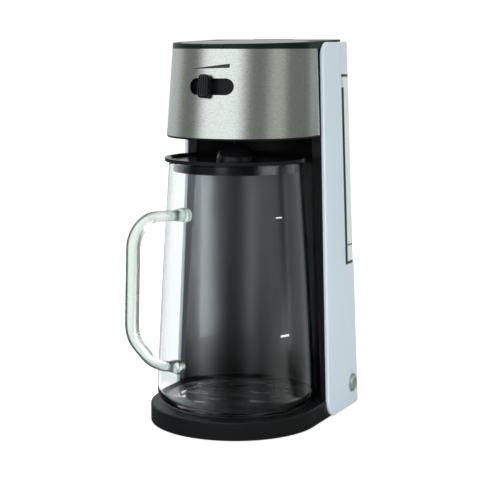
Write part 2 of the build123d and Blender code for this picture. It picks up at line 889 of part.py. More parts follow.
def outlet_alcove(depth_y, width, top_z):
    """Flat faced alcove in the front of the tank, round the outlet."""
    with BuildSketch(Plane.XY.offset(tank_floor_z - 1)) as plan:
        with Locations((outlet_x, depth_y - 10)):
            Rectangle(width, 20)
    extrude(plan.sketch, amount=top_z - tank_floor_z + 1, mode=Mode.SUBTRACT)


with BuildPart() as tank_void:
    low_z = tank_floor_z + tank_wall
    step_low_z = tank_step_z - tank_wall
    panel_block(tank_inset + tank_wall, at(40), at(tank_back_y + 1), low_z, step_low_z)
    panel_block(tank_inset + tank_wall, at(40), at(tank_front_y + 0.2), step_low_z, tank_top_z + 5)
    panel_block(0.1 + tank_wall, at(tank_cheek_y + tank_wall), tank_inner_rear, low_z, step_low_z)
    void_curve = tank_curve_radius + tank_wall
    upright_cone(nest_y, void_curve, void_curve, tank_floor_z, tank_top_z + 10, Mode.SUBTRACT)
    outlet_alcove(alcove_y + tank_wall, socket_width + 2 + 2 * tank_wall, alcove_top_z + tank_wall)

with BuildPart() as tank_body:
    panel_block(0.1, at(tank_cheek_y), rear_y, tank_floor_z, tank_step_z)
    rear_edges = faces().sort_by(Axis.Y)[-1].edges().filter_by(lambda edge: edge.length > 160)
    fillet(rear_edges, 4)
    panel_block(tank_inset, at(tank_horn_y), at(tank_back_y + 0.2), tank_floor_z, tank_top_z)
    curve = tank_curve_radius
    upright_cone(nest_y, curve, curve, tank_floor_z - 1, tank_top_z + 1, Mode.SUBTRACT)
    outlet_alcove(alcove_y, socket_width + 2, alcove_top_z)
    add(tank_void.part, mode=Mode.SUBTRACT)
    # outlet spigot, pointing forwards into the socket
    with BuildSketch(Plane.XZ.offset(-spigot_tip_y)):
        with Locations((outlet_x, outlet_z)):
            Circle(spigot_radius)
    extrude(amount=-6.4)
    with BuildSketch(Plane.XZ.offset(-spigot_tip_y + 1)):
        with Locations((outlet_x, outlet_z)):
            Circle(spigot_bore)
    extrude(amount=-12, mode=Mode.SUBTRACT)
save(tank_body.part, "tank_body")

with BuildPart() as tank_cap:
    panel_block(0.1, at(panel_step_y + 0.4), rear_y, tank_step_z + cap_gap, machine_height)
    cap_rear = faces().sort_by(Axis.Y)[-1].edges().filter_by(lambda edge: edge.length < 40)
    fillet(cap_rear, 4)
    fillet(faces().sort_by(Axis.Z)[-1].edges(), 1.4)
    # the two ears reach forwards beside the deck and the column
    panel_block(ear_inset, at(60), at(tank_front_y), tank_step_z, machine_height + 5, Mode.SUBTRACT)
    # hollow over the rear rim of the tank
    cap_roof_z = machine_height - 2.4
    panel_block(ear_inset, at(80), at(tank_back_y + 0.4), tank_step_z, cap_roof_z, Mode.SUBTRACT)
    panel_block(2.1, at(tank_back_y), cap_inner_rear, tank_step_z, cap_roof_z, Mode.SUBTRACT)
save(tank_cap.part, "tank_cap")

valve_y = 86.0
with BuildPart() as tank_valve:
    with BuildSketch(Plane.XZ.offset(-valve_y)):
        with Locations((outlet_x, outlet_z)):
            Circle(3.8)
    extrude(amount=-1.4)
    with BuildSketch(Plane.XZ.offset(-valve_y)):
        with Locations((outlet_x, outlet_z)):
            Circle(1.0)
    extrude(amount=valve_y - spigot_tip_y - 0.4)
save(tank_valve.part, "tank_valve")

cage_radius = 6.2
with BuildPart() as tank_strainer:
    with BuildSketch(Plane.XZ.offset(-valve_y + 0.2)):
        with Locations((outlet_x, outlet_z)):
            Circle(cage_radius)
    extrude(amount=-9)
    with BuildSketch(Plane.XZ.offset(-valve_y + 1)):
        with Locations((outlet_x, outlet_z)):
            Circle(cage_radius - 1.0)
    extrude(amount=-8.8, mode=Mode.SUBTRACT)
    # slots all round, between four bars
    with BuildSketch(Plane.XY.offset(outlet_z)):
        with Locations((outlet_x, valve_y + 4.2)):
            Rectangle(20, 5)
    extrude(amount=3.5, both=True, mode=Mode.SUBTRACT)
save(tank_strainer.part, "tank_strainer")

valve_spring_plane = Plane(
    origin=(outlet_x, valve_y + 1.9, outlet_z),
    x_dir=(1, 0, 0),
    z_dir=(0, 1, 0),
)
save(coil_spring(valve_spring_plane, 2.8, 0.35, 1.8, 5.4), "valve_spring")

socket_rear_y = 82.6
barb_y = 78.2
channel_y = 76.85
channel_radius = 1.4
bore_end_y = 76.0
seal_y = 79.2
seal_wire = 0.7
with BuildPart() as tank_socket:
    with BuildSketch(Plane.XY.offset(shelf_z)):
        with Locations((outlet_x, socket_rear_y - 6)):
            Rectangle(socket_width, 12)
    extrude(amount=17)
    add(nest_backing.part, mode=Mode.SUBTRACT)
    # neck through the shelf, retaining flange below it, and hose barb
    with BuildSketch(Plane.XY.offset(shelf_z - 5.8)):
        with Locations((outlet_x, socket_rear_y - 3.8)):
            Rectangle(12, 7.6)
    extrude(amount=5.9)
    with BuildSketch(Plane.XY.offset(shelf_z - 2.8)):
        with Locations((outlet_x, socket_rear_y - 3.2)):
            RectangleRounded(15, 8.8, 1.5)
    extrude(amount=-3)
    with BuildSketch(Plane.XY.offset(shelf_z - 5.8)):
        with Locations((outlet_x, barb_y)):
            Circle(line_radius)
    extrude(amount=-6.6)
    # bore for the spigot, groove for the seal, and the drilled way down to the barb
    with BuildSketch(Plane.XZ.offset(-bore_end_y)):
        with Locations((outlet_x, outlet_z)):
            Circle(spigot_radius + fit_gap)
    extrude(amount=-10, mode=Mode.SUBTRACT)
    with BuildSketch(Plane.XZ.offset(-seal_y)):
        with Locations((outlet_x, outlet_z)):
            Circle(spigot_radius + 2 * seal_wire + 0.1)
    extrude(amount=seal_wire + 0.1, both=True, mode=Mode.SUBTRACT)
    with BuildSketch(Plane.XY.offset(outlet_z)):
        with Locations((outlet_x, channel_y)):
            Circle(channel_radius)
    extrude(amount=shelf_z - 4.6 - outlet_z, mode=Mode.SUBTRACT)
    with BuildSketch(Plane.XY.offset(shelf_z - 3.4)):
        with Locations((outlet_x, barb_y)):
            Circle(1.7)
    extrude(amount=-30, mode=Mode.SUBTRACT)
save(tank_socket.part, "tank_socket")

with BuildPart() as socket_seal:
    seal_ring = Plane(origin=(outlet_x, seal_y, outlet_z))
    with BuildSketch(seal_ring):
        with Locations((spigot_radius + seal_wire + 0.05, 0)):
            Circle(seal_wire)
    revolve(axis=Axis(seal_ring.origin, (0, 1, 0)))
save(socket_seal.part, "socket_seal")


# ---------------------------------------------------------------- heater and water line

heater_half = 20.0
heater_top_z = 80.0
heater_bend_z = 48.0
water_y = heater_y - 4.0
rod_y = heater_y + 4.0
rod_radius = 3.0


def u_run(depth_y, top_z):
    """U of two legs and a half round bend in an upright plane."""
    with BuildLine(Plane.XZ.offset(-depth_y)) as run:
        Line((-heater_half, top_z), (-heater_half, heater_bend_z))
        ThreePointArc(
            (-heater_half, heater_bend_z),
            (0, heater_bend_z - heater_half),
            (heater_half, heater_bend_z),
        )
        Line((heater_half, heater_bend_z), (heater_half, top_z))
    return run.line


def u_bar(depth_y, top_z, radius, mode=Mode.ADD):
    """Round bar bent along the U."""
    start = Plane(origin=(-heater_half, depth_y, top_z), x_dir=(1, 0, 0), z_dir=(0, 0, -1))
    with BuildSketch(start) as section:
        Circle(radius)
    sweep(section.sketch, path=u_run(depth_y, top_z), mode=mode)


with BuildPart() as heater_block:
    start = Plane(origin=(-heater_half, heater_y, heater_top_z), x_dir=(0, 1, 0), z_dir=(0, 0, -1))
    with BuildSketch(start) as section:
        SlotOverall(17, 9)
    sweep(section.sketch, path=u_run(heater_y, heater_top_z))
    u_bar(water_y, heater_top_z + 1, line_radius, Mode.SUBTRACT)
    u_bar(rod_y, heater_top_z + 1, rod_radius, Mode.SUBTRACT)
save(heater_block.part, "heater_block")

with BuildPart() as heater_tube:
    u_bar(water_y, heater_top_z + 8, line_radius)
    u_bar(water_y, heater_top_z + 9, line_radius - 0.5, Mode.SUBTRACT)
save(heater_tube.part, "heater_tube")

with BuildPart() as heater_element:
    u_bar(rod_y, heater_top_z + 5, rod_radius)
    for end_x in (-heater_half, heater_half):
        with BuildSketch(Plane.XY.offset(heater_top_z + 5)):
            with Locations((end_x, rod_y)):
                Rectangle(4.6, 0.8)
        extrude(amount=8)
save(heater_element.part, "heater_element")

bracket_z = 62.0
bracket_front_y = heater_y - 8.5 - 1.2
with BuildPart() as heater_bracket:
    with BuildSketch(Plane.XZ.offset(-bracket_front_y)):
        with Locations((0, bracket_z)):
            RectangleRounded(74, 12, 2)
            with GridLocations(64, 0, 2, 1):
                Circle(1.8, mode=Mode.SUBTRACT)
    extrude(amount=-1.2)
save(heater_bracket.part, "heater_bracket")

with BuildPart() as thermostat:
    with BuildSketch(Plane.XZ.offset(-heater_y + 8.5)):
        with Locations((0, bracket_z)):
            Circle(7.5)
    extrude(amount=-5.0)
    with BuildSketch(Plane.XZ.offset(-heater_y + 3.5)):
        with Locations((0, bracket_z)):
            Circle(6.0)
    extrude(amount=-2.5)
    with BuildSketch(Plane.XZ.offset(-heater_y + 1.0)):
        with Locations((0, bracket_z)):
            with GridLocations(8, 0, 2, 1):
                Rectangle(0.8, 4.6)
    extrude(amount=-6)
save(thermostat.part, "thermostat")

with BuildPart() as thermal_fuse:
    fuse_plane = Plane.YZ.offset(-8)
    with BuildSketch(fuse_plane):
        with Locations((heater_y - 6.0, bracket_z + 12)):
            Circle(2.1)
    extrude(amount=16)
    with BuildSketch(Plane.YZ.offset(-14)):
        with Locations((heater_y - 6.0, bracket_z + 12)):
            Circle(0.6)
    extrude(amount=28)
save(thermal_fuse.part, "thermal_fuse")

valve_low_z = heater_top_z + 2
valve_body_z = heater_top_z + 17
with BuildPart() as check_valve:
    with BuildSketch(Plane.XY.offset(valve_low_z)):
        with Locations((-heater_half, water_y)):
            Circle(4.6)
    extrude(amount=valve_body_z - valve_low_z)
    with BuildSketch(Plane.XY.offset(valve_body_z)):
        with Locations((-heater_half, water_y)):
            Circle(line_radius)
    extrude(amount=6)
    with BuildSketch(Plane.XY.offset(valve_low_z)):
        with Locations((-heater_half, water_y)):
            Circle(line_radius)
    extrude(amount=6.2, mode=Mode.SUBTRACT)
    with BuildSketch(Plane.XY.offset(valve_low_z)):
        with Locations((-heater_half, water_y)):
            Circle(1.6)
    extrude(amount=30, mode=Mode.SUBTRACT)
save(check_valve.part, "check_valve")


def hose(route, bends, outer, bore):
    """Tube along straight runs joined by tangent arcs."""
    with BuildLine() as run:
        FilletPolyline(*route, radius=bends)
    start = Plane(origin=run.line @ 0, z_dir=run.line % 0)
    with BuildSketch(start) as skin:
        Circle(outer)
    with BuildSketch(start) as hollow:
        Circle(bore)
    with BuildPart() as tube:
        sweep(skin.sketch, path=run.line)
        sweep(hollow.sketch, path=run.line, mode=Mode.SUBTRACT)
    return tube.part


feed_route = [
    (outlet_x, barb_y, shelf_z - 6.2),
    (outlet_x, barb_y, 116),
    (-heater_half, water_y, 109),
    (-heater_half, water_y, valve_body_z + 0.5),
]
save(hose(feed_route, [8, 8], line_radius + hose_wall, line_radius), "feed_hose")

outlet_route = [
    (heater_half, water_y, heater_top_z + 2),
    (heater_half, water_y, 96),
    (0, riser_y, 114),
    (0, riser_y, 125),
]
save(hose(outlet_route, [12, 12], line_radius + hose_wall, line_radius), "outlet_hose")

riser_route = [(0, riser_y, 117), (0, riser_y, spout_z), (0, 71.5, spout_z)]
save(hose(riser_route, [5], riser_radius, riser_bore), "riser_tube")

with BuildPart() as water_spout:
    with BuildSketch(Plane.XZ.offset(-74.0)):
        with Locations((0, spout_z)):
            Circle(3.0)
            Circle(riser_radius, mode=Mode.SUBTRACT)
    extrude(amount=14)
save(water_spout.part, "water_spout")


# ---------------------------------------------------------------- power button

button_radius = 6.4
ring_bore = 6.75


def button_disc(radius, low, high, mode=Mode.ADD):
    """Disc on the button's axis between two distances from the panel's face."""
    with BuildSketch(button_plane.offset(low)) as disc:
        Circle(radius)
    extrude(disc.sketch, amount=high - low, mode=mode)


with BuildPart() as button_ring:
    button_disc(button_hole_radius - 0.05, -6.0, 1.3)
    rim = faces().sort_by(Axis.X)[-1].edges()
    fillet(rim, 0.6)
    button_disc(ring_bore, -7.0, 2.0, Mode.SUBTRACT)
save(button_ring.part, "button_ring")

with BuildPart() as power_button:
    button_disc(button_radius, -7.2, 3.2)
    rim = faces().sort_by(Axis.X)[-1].edges()
    fillet(rim, 1.8)
    button_disc(8.0, -8.4, -7.2)
    button_disc(2.0, -13.2, -8.4)
save(power_button.part, "power_button")

with BuildPart() as switch_body:
    with BuildSketch(button_plane.offset(-27)):
        with Locations((0, 0.6)):
            Rectangle(18, 7.4)
    extrude(amount=12.2)
    button_disc(2.4, -18.4, -14.0, Mode.SUBTRACT)
    with BuildSketch(button_plane.offset(-27)):
        with GridLocations(9, 0, 2, 1):
            Rectangle(0.8, 4.8)
    extrude(amount=-8)
save(switch_body.part, "switch_body")

button_spring_plane = Plane(
    origin=button_plane.from_local_coords(Vector(0, 0, -14.3)),
    x_dir=(0, 1, 0),
    z_dir=(1, 0, side_rake),
)
save(coil_spring(button_spring_plane, 3.4, 0.4, 1.7, 5.0), "button_spring")


# ---------------------------------------------------------------- pitcher

pitcher_axis = Axis((0, pitcher_y, 0), (0, 0, 1))
corner_radius = 11.0


def glass_outline(offset, floor_z, top_z):
    """Half section of the pitcher, taken in from the outside by offset."""
    low = pitcher_low_radius - offset
    corner = max(corner_radius - offset, 1)
    bulge = 1 - cos(radians(45))
    with BuildSketch(Plane.YZ) as section:
        with BuildLine():
            Line((pitcher_y, floor_z), (pitcher_y + low - corner, floor_z))
            ThreePointArc(
                (pitcher_y + low - corner, floor_z),
                (pitcher_y + low - corner * bulge, floor_z + corner * bulge),
                (pitcher_y + low, floor_z + corner),
            )
            ThreePointArc(
                (pitcher_y + low, floor_z + corner),
                (pitcher_y + pitcher_mid_radius - offset, pitcher_mid_z),
                (pitcher_y + pitcher_rim_radius - offset, top_z),
            )
            Line((pitcher_y + pitcher_rim_radius - offset, top_z), (pitcher_y, top_z))
            Line((pitcher_y, top_z), (pitcher_y, floor_z))
        make_face()
    return section.sketch


def lip_cone(trim, mode):
    """Pouring lip: a cone that leans out of the rim on the side away from the handle."""
    sections = []
    for z, radius, reach in ((204.0, 4.0, 53.5), (pitcher_rim_z, 9.5, 53.3)):
        with BuildSketch(Plane.XY.offset(z)) as section:
            turn = radians(handle_angle)
            with Locations((reach * sin(turn), pitcher_y + reach * cos(turn))):
                Circle(radius - trim)
        sections.append(section.sketch)
    loft(sections, ruled=True, mode=mode)


with BuildPart() as glass_solid:
    revolve(glass_outline(0, pitcher_foot_z, pitcher_rim_z), axis=pitcher_axis)

with BuildPart() as pitcher_glass:
    add(glass_solid.part)
    lip_cone(0, Mode.ADD)
    # hollow, with a thick floor
    inside = glass_outline(glass_wall, pitcher_foot_z + glass_floor, pitcher_rim_z)
    revolve(inside, axis=pitcher_axis, mode=Mode.SUBTRACT)
    lip_cone(glass_wall, Mode.SUBTRACT)
    fillet(faces().sort_by(Axis.Z)[-1].edges(), 1.0)
    # shallow push-up under the floor
    with BuildSketch(Plane.XY.offset(pitcher_foot_z)):
        with Locations((0, pitcher_y)):
            Circle(50)
    extrude(amount=1.2, taper=20, mode=Mode.SUBTRACT)
save(pitcher_glass.part, "pitcher_glass")

handle_turn = radians(handle_angle)
handle_plane = Plane(
    origin=(0, pitcher_y, 0),
    x_dir=(-sin(handle_turn), -cos(handle_turn), 0),
    z_dir=(-cos(handle_turn), sin(handle_turn), 0),
)
handle_radial = 9.4
handle_across = 14.4
handle_corners = [(56, 190.0), (116.4, 192.6), (119.6, 92.0), (95.0, 64.0), (54, 55.5)]
handle_bends = [26, 30, 40]

with BuildPart() as pitcher_handle:
    with BuildLine(handle_plane) as handle_run:
        FilletPolyline(*handle_corners, radius=handle_bends)
    start_point = handle_run.line @ 0
    start_way = handle_run.line % 0
    across = handle_plane.z_dir
    with BuildSketch(Plane(origin=start_point, x_dir=across, z_dir=start_way)) as section:
        Ellipse(handle_across / 2, handle_radial / 2)
    sweep(section.sketch, path=handle_run.line)
    add(glass_solid.part, mode=Mode.SUBTRACT)
save(pitcher_handle.part, "pitcher_handle")

lid_edge = 3.1
dish_z = 233.9
dome_radius = 17.5
skirt_radius = 55.4
with BuildPart() as pitcher_lid:
    with BuildSketch(Plane.YZ):
        with BuildLine():
            outline = Polyline(
                (pitcher_y + 4.5, dome_top_z - 3.0),
                (pitcher_y + 4.5, dome_top_z - 5.0),
                (pitcher_y + dome_radius - 4, dish_z - 2.0),
                (pitcher_y + skirt_radius - 2, dish_z - 2.0),
                (pitcher_y + skirt_radius - 2, dish_z - 9.0),
                (pitcher_y + skirt_radius, dish_z - 9.0),
                (pitcher_y + skirt_radius, pitcher_lid_top - lid_edge),
                (pitcher_y + pitcher_lid_radius, pitcher_lid_top - lid_edge),
                (pitcher_y + pitcher_lid_radius, pitcher_lid_top),
                (pitcher_y + pitcher_lid_radius - 2.6, pitcher_lid_top),
                (pitcher_y + pitcher_lid_radius - 5.6, dish_z),
                (pitcher_y + dome_radius, dish_z),
            )
            ThreePointArc(
                (pitcher_y + dome_radius, dish_z),
                (pitcher_y + dome_radius * 0.8, dish_z + 9.2),
                (pitcher_y + 7.5, dome_top_z),
            )
            Line((pitcher_y + 7.5, dome_top_z), (pitcher_y + 4.5, dome_top_z - 3.0))
        make_face()
    revolve(axis=pitcher_axis)
save(pitcher_lid.part, "pitcher_lid")
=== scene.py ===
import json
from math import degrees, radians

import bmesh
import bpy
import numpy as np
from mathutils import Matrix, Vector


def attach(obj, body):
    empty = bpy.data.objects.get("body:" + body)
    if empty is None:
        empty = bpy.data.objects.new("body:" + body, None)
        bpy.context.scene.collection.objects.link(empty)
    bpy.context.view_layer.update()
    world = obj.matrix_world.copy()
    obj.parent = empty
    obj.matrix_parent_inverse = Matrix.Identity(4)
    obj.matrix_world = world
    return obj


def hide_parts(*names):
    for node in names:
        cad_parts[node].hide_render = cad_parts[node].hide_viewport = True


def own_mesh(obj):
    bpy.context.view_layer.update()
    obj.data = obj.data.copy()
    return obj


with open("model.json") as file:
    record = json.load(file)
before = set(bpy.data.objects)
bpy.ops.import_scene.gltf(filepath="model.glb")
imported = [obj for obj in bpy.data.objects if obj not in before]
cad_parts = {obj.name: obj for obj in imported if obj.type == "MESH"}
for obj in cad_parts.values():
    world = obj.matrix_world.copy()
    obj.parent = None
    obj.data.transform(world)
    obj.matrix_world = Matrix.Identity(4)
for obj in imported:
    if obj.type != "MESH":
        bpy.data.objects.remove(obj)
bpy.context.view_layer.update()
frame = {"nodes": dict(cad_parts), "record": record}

# %% [markdown]
# # An iced tea maker
# The machine brews hot tea or coffee into a tall glass pitcher of ice. A black base carries a
# column with two raked white side panels, a head wrapped in brushed steel, and a water tank at
# the rear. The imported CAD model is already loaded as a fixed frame. This file gives every CAD
# piece its finish, and it rebuilds the pieces whose look depends on a very smooth surface, such
# as the glass. New pieces are worked out in millimetres and turned into metres at the end;
# finishes count in metres.

MM = 0.001

# %% [markdown]
# ## Camera
# A long lens from the front right and a little above keeps the upright edges of the machine
# nearly parallel. A camera is an object like any other, so it gets a place, a turn and a lens.

# %% Camera
tilt_up, turn_left = radians(81.62), radians(26.135)
camera_data = bpy.data.cameras.new("studio_camera")
camera_data.lens = 100.83
camera_data.sensor_width = 36.0
camera = bpy.data.objects.new("studio_camera", camera_data)
camera.location = (0.5290, -1.0661, 0.3365)
camera.rotation_euler = (tilt_up, 0.0, turn_left)
bpy.context.scene.collection.objects.link(camera)
bpy.context.scene.camera = camera
print("camera at", tuple(round(v, 3) for v in camera.location))

# %% [markdown]
# ## Shader maths in plain Python
# A finish is a small network of nodes. Wiring each Math node by hand is slow to read, so one
# class wraps an output socket and overloads the operators: `mask * 0.5 + 1` adds the nodes by
# itself.


# %% Wire
def rgb(red, green, blue):
    return (red, green, blue, 1.0)


class Wire:
    """An output socket that can stand in a Python expression; each operator adds one Math node."""

    def __init__(self, network, socket):
        self.network = network
        self.socket = socket

    def math(self, operation, *values):
        inputs = dict(enumerate(values))
        return self.network.node("ShaderNodeMath", {"operation": operation}, inputs)

    def __add__(self, other):
        return self.math("ADD", self, other)

    def __radd__(self, other):
        return self.math("ADD", other, self)

    def __sub__(self, other):
        return self.math("SUBTRACT", self, other)

    def __rsub__(self, other):
        return self.math("SUBTRACT", other, self)

    def __mul__(self, other):
        return self.math("MULTIPLY", self, other)

    def __rmul__(self, other):
        return self.math("MULTIPLY", other, self)

    def __truediv__(self, other):
        return self.math("DIVIDE", self, other)

    def __rtruediv__(self, other):
        return self.math("DIVIDE", other, self)

    def __pow__(self, other):
        return self.math("POWER", self, other)

    def __rpow__(self, other):
        return self.math("POWER", other, self)

    def __neg__(self):
        return self.math("MULTIPLY", self, -1.0)

    def __abs__(self):
        return self.math("ABSOLUTE", self)

    def __gt__(self, other):
        return self.math("GREATER_THAN", self, other)

    def __lt__(self, other):
        return self.math("LESS_THAN", self, other)


print("operators ready: + - * / ** abs > <")

# %% [markdown]
# ## Networks and finishes
# A material and a world are both trees of nodes. A network is such a tree with one method that
# adds any node, and two short cuts for the nodes used most: a colour mix and a smooth step. A
# finish is the network of one material, with noise, the coordinates of the piece, and relief.


# %% Network
class Network:
    """A node tree, and the method that adds nodes to it."""

    def __init__(self, tree):
        self.tree = tree

    def plug(self, value, socket):
        """Links a wire to a socket, or sets the socket to a plain value."""
        if isinstance(value, Wire):
            self.tree.links.new(value.socket, socket)
        else:
            socket.default_value = value

    def node(self, kind, settings, inputs, output=0):
        """Adds a node: its settings first, then the values or wires of its sockets."""
        node = self.tree.nodes.new(kind)
        for name, value in settings.items():
            setattr(node, name, value)
        for slot, value in inputs.items():
            self.plug(value, node.inputs[slot])
        return Wire(self, node.outputs[output])

    def blend(self, factor, first, second):
        """Colour mix: first where the factor is 0, second where it is 1. In a colour Mix node,
        sockets 6 and 7 are the two colours and output 2 is the mixed one."""
        inputs = {0: factor, 6: first, 7: second}
        return self.node("ShaderNodeMix", {"data_type": "RGBA"}, inputs, 2)

    def smooth(self, value, start, end):
        """0 where the value is below start, 1 above end, with a smooth step between them."""
        settings = {"interpolation_type": "SMOOTHSTEP"}
        return self.node("ShaderNodeMapRange", settings, {0: value, 1: start, 2: end})


print("networks ready")


# %% Finish
def socket_name(word):
    """Base_Color in Python is the socket called Base Color."""
    return word.replace("_", " ")


class Finish(Network):
    """One material: a Principled shader and the Object coordinates."""

    def __init__(self, name, **constants):
        self.material = bpy.data.materials.new(name)
        self.material.use_nodes = True
        super().__init__(self.material.node_tree)
        self.shader = self.tree.nodes["Principled BSDF"]
        for word, value in constants.items():
            self.shader.inputs[socket_name(word)].default_value = value
        self.place = self.node("ShaderNodeTexCoord", {}, {}, "Object")

    def noise(self, scale, detail=2.0, stretch=(1.0, 1.0, 1.0)):
        """Noise from 0 to 1 with about `scale` features to the metre, stretched along the axes."""
        where = self.node("ShaderNodeMapping", {}, {"Vector": self.place, "Scale": stretch})
        inputs = {"Vector": where, "Scale": scale, "Detail": detail}
        return self.node("ShaderNodeTexNoise", {}, inputs, "Fac")

    def axis(self, name):
        """One of the Object coordinates X, Y or Z, in metres."""
        return self.node("ShaderNodeSeparateXYZ", {}, {0: self.place}, name)

    def feed(self, **inputs):
        """Feeds the shader's own sockets."""
        for word, value in inputs.items():
            self.plug(value, self.shader.inputs[socket_name(word)])

    def relief(self, height, depth):
        """Bumps the surface by `height` times `depth` metres."""
        inputs = {"Height": height, "Distance": depth, "Strength": 1.0}
        self.feed(Normal=self.node("ShaderNodeBump", {}, inputs))


print("finishes ready")

# %% [markdown]
# ## Plastics
# Moulded plastic is never one flat colour: the mould leaves a very fine grain, and the gloss
# wanders slowly over the surface. Each plastic here gets a fine noise for its relief and a broad
# one for its colour and roughness. The roughness runs from `gloss` to `gloss + spread`.


# %% Plastics and rubber
DRIFT, DRIFT_DETAIL = 14.0, 3.0  # the slow noise of every plastic


def moulded(name, dark, light, gloss, spread, grain, depth, **constants):
    """Plastic: two close colours mixed by slow noise, wandering gloss, and a fine mould grain."""
    finish = Finish(name, **constants)
    slow = finish.noise(DRIFT, DRIFT_DETAIL)
    finish.feed(Base_Color=finish.blend(slow, dark, light), Roughness=slow * spread + gloss)
    finish.relief(finish.noise(grain), depth)
    return finish


black_body = moulded(
    "black_body",
    dark=rgb(0.006, 0.006, 0.007),
    light=rgb(0.010, 0.010, 0.011),
    gloss=0.30,
    spread=0.08,
    grain=1800.0,
    depth=0.000006,
    Specular_IOR_Level=0.18,
    Coat_IOR=2.6,
    Coat_Roughness=0.38,
)
black_gloss = moulded(
    "black_gloss",
    dark=rgb(0.006, 0.006, 0.007),
    light=rgb(0.010, 0.010, 0.012),
    gloss=0.13,
    spread=0.06,
    grain=700.0,
    depth=0.00001,
    Specular_IOR_Level=0.25,
)
white_panel = moulded(
    "white_panel",
    dark=rgb(0.65, 0.72, 0.81),
    light=rgb(0.69, 0.76, 0.85),
    gloss=0.22,
    spread=0.08,
    grain=900.0,
    depth=0.00001,
)
foot_rubber = moulded(
    "foot_rubber",
    dark=rgb(0.02, 0.02, 0.02),
    light=rgb(0.035, 0.035, 0.035),
    gloss=0.65,
    spread=0.15,
    grain=2400.0,
    depth=0.00008,
)
grey_silicone = moulded(
    "grey_silicone",
    dark=rgb(0.42, 0.43, 0.42),
    light=rgb(0.50, 0.51, 0.50),
    gloss=0.45,
    spread=0.1,
    grain=1200.0,
    depth=0.00003,
)
print("plastics ready")

# %% [markdown]
# ## Polished nest
# The wall behind the pitcher and the floor under it are polished, so they mirror the lights as
# soft stripes, while the rest of the black plastic stays dull. A gloss coat does that. The black
# plastic carries it only inside an upright cylinder round the pitcher, and every limit of the
# coat is a smooth step, so that its edge doesn't show as a line.

# %% Polished nest
NEST_CENTRE = 0.003
# where each limit of the coat starts and where it ends, in metres
NEST_RADIUS, FLOOR_RADIUS = (0.080, 0.082), (0.064, 0.067)
BASE_TOP, LID_HEIGHT = (0.019, 0.022), (0.226, 0.232)
RIGHT_EDGE, FRONT_EDGE = (0.052, 0.060), (0.010, 0.016)

nest_x, nest_z = black_body.axis("X"), black_body.axis("Z")
nest_back = black_body.axis("Y") - NEST_CENTRE
nest_reach = (nest_x * nest_x + nest_back * nest_back) ** 0.5
in_nest = 1.0 - black_body.smooth(nest_reach, *NEST_RADIUS)
over_base = black_body.smooth(nest_z, *BASE_TOP)
under_lid = 1.0 - black_body.smooth(nest_z, *LID_HEIGHT)
clear_of_edge = 1.0 - black_body.smooth(nest_x, *RIGHT_EDGE)
behind_front = black_body.smooth(nest_back, *FRONT_EDGE)
polished_wall = in_nest * over_base * under_lid * clear_of_edge * behind_front
polished_floor = (1.0 - over_base) * (1.0 - black_body.smooth(nest_reach, *FLOOR_RADIUS))
black_body.feed(Coat_Weight=polished_wall + polished_floor)
print("polished nest: radius", NEST_RADIUS[0], "m, up to", LID_HEIGHT[1], "m")

# %% [markdown]
# ## Metals
# The band is brushed sideways, so its scratches are noise stretched along the band: a scale of 50
# on the upright axis squeezes the noise into thin level lines. Plain pins and screws get an even
# grain, and the cast heater block a rougher one. The button is a plated plastic, so it is less
# than metal.


# %% Metals
SHADE = 0.86  # how dark a metal is in its scratches
MARK_DETAIL = 4.0


def metal(name, colour, gloss, spread, grain, depth, stretch=(1, 1, 1)):
    """Bare metal: one noise, stretched or even, darkens, roughens and dents it."""
    finish = Finish(name, Metallic=1.0)
    marks = finish.noise(grain, MARK_DETAIL, stretch)
    tone = finish.blend(marks, rgb(*(SHADE * part for part in colour[:3])), colour)
    finish.feed(Base_Color=tone, Roughness=marks * spread + gloss)
    finish.relief(marks, depth)
    return finish


plain_steel = metal(
    "plain_steel", rgb(0.55, 0.56, 0.57), gloss=0.25, spread=0.2, grain=900.0, depth=0.00002
)
cast_aluminium = metal(
    "cast_aluminium", rgb(0.62, 0.62, 0.62), gloss=0.42, spread=0.2, grain=1400.0, depth=0.0001
)
mesh_steel = metal(
    "mesh_steel", rgb(0.55, 0.55, 0.55), gloss=0.35, spread=0.2, grain=1500.0, depth=0.0001
)
button_metal = metal(
    "button_metal",
    rgb(0.66, 0.70, 0.70),
    gloss=0.3,
    spread=0.1,
    grain=500.0,
    depth=0.00001,
    stretch=(8, 1, 1),
)
button_metal.feed(Metallic=0.7)
band_steel = metal(
    "band_steel",
    rgb(0.62, 0.64, 0.61),
    gloss=0.17,
    spread=0.08,
    grain=70.0,
    depth=0.000003,
    stretch=(1, 1, 50),
)
print("metals ready")

# %% Flecks in the brushed band
FLECK_GRAIN, FLECK_STRETCH = 380.0, (1, 1, 3)
FLECK_FROM, FLECK_TO = 0.3, 0.7
fleck_noise = band_steel.noise(FLECK_GRAIN, stretch=FLECK_STRETCH)
fleck = band_steel.smooth(fleck_noise, FLECK_FROM, FLECK_TO)
fleck_dark, fleck_light = rgb(0.56, 0.58, 0.55), rgb(0.65, 0.67, 0.645)
band_steel.feed(Base_Color=band_steel.blend(fleck, fleck_dark, fleck_light))
print("band flecked")

# %% [markdown]
# ## Glass and tank
# The pitcher is clear glass with a breath of green. Its index of refraction is lower than that of
# real glass, because a turned wall this even would else show harder dark edges than blown glass
# does. The handle is drawn glass with a faint frost. The tank is milky plastic: a little light
# goes through it. Its front wall, where it meets the column, is coloured dark as painted shade
# for the shade in the gap there. It is also dark in a thin line at its foot, below its foot and
# above the joint to its grip cap.

# %% Glass
clear_glass = Finish("clear_glass", IOR=1.2, Roughness=0.0, Transmission_Weight=1.0)
glass_dark, glass_light = rgb(0.925, 0.955, 0.955), rgb(0.945, 0.97, 0.97)
clear_glass.feed(Base_Color=clear_glass.blend(clear_glass.noise(9.0), glass_dark, glass_light))

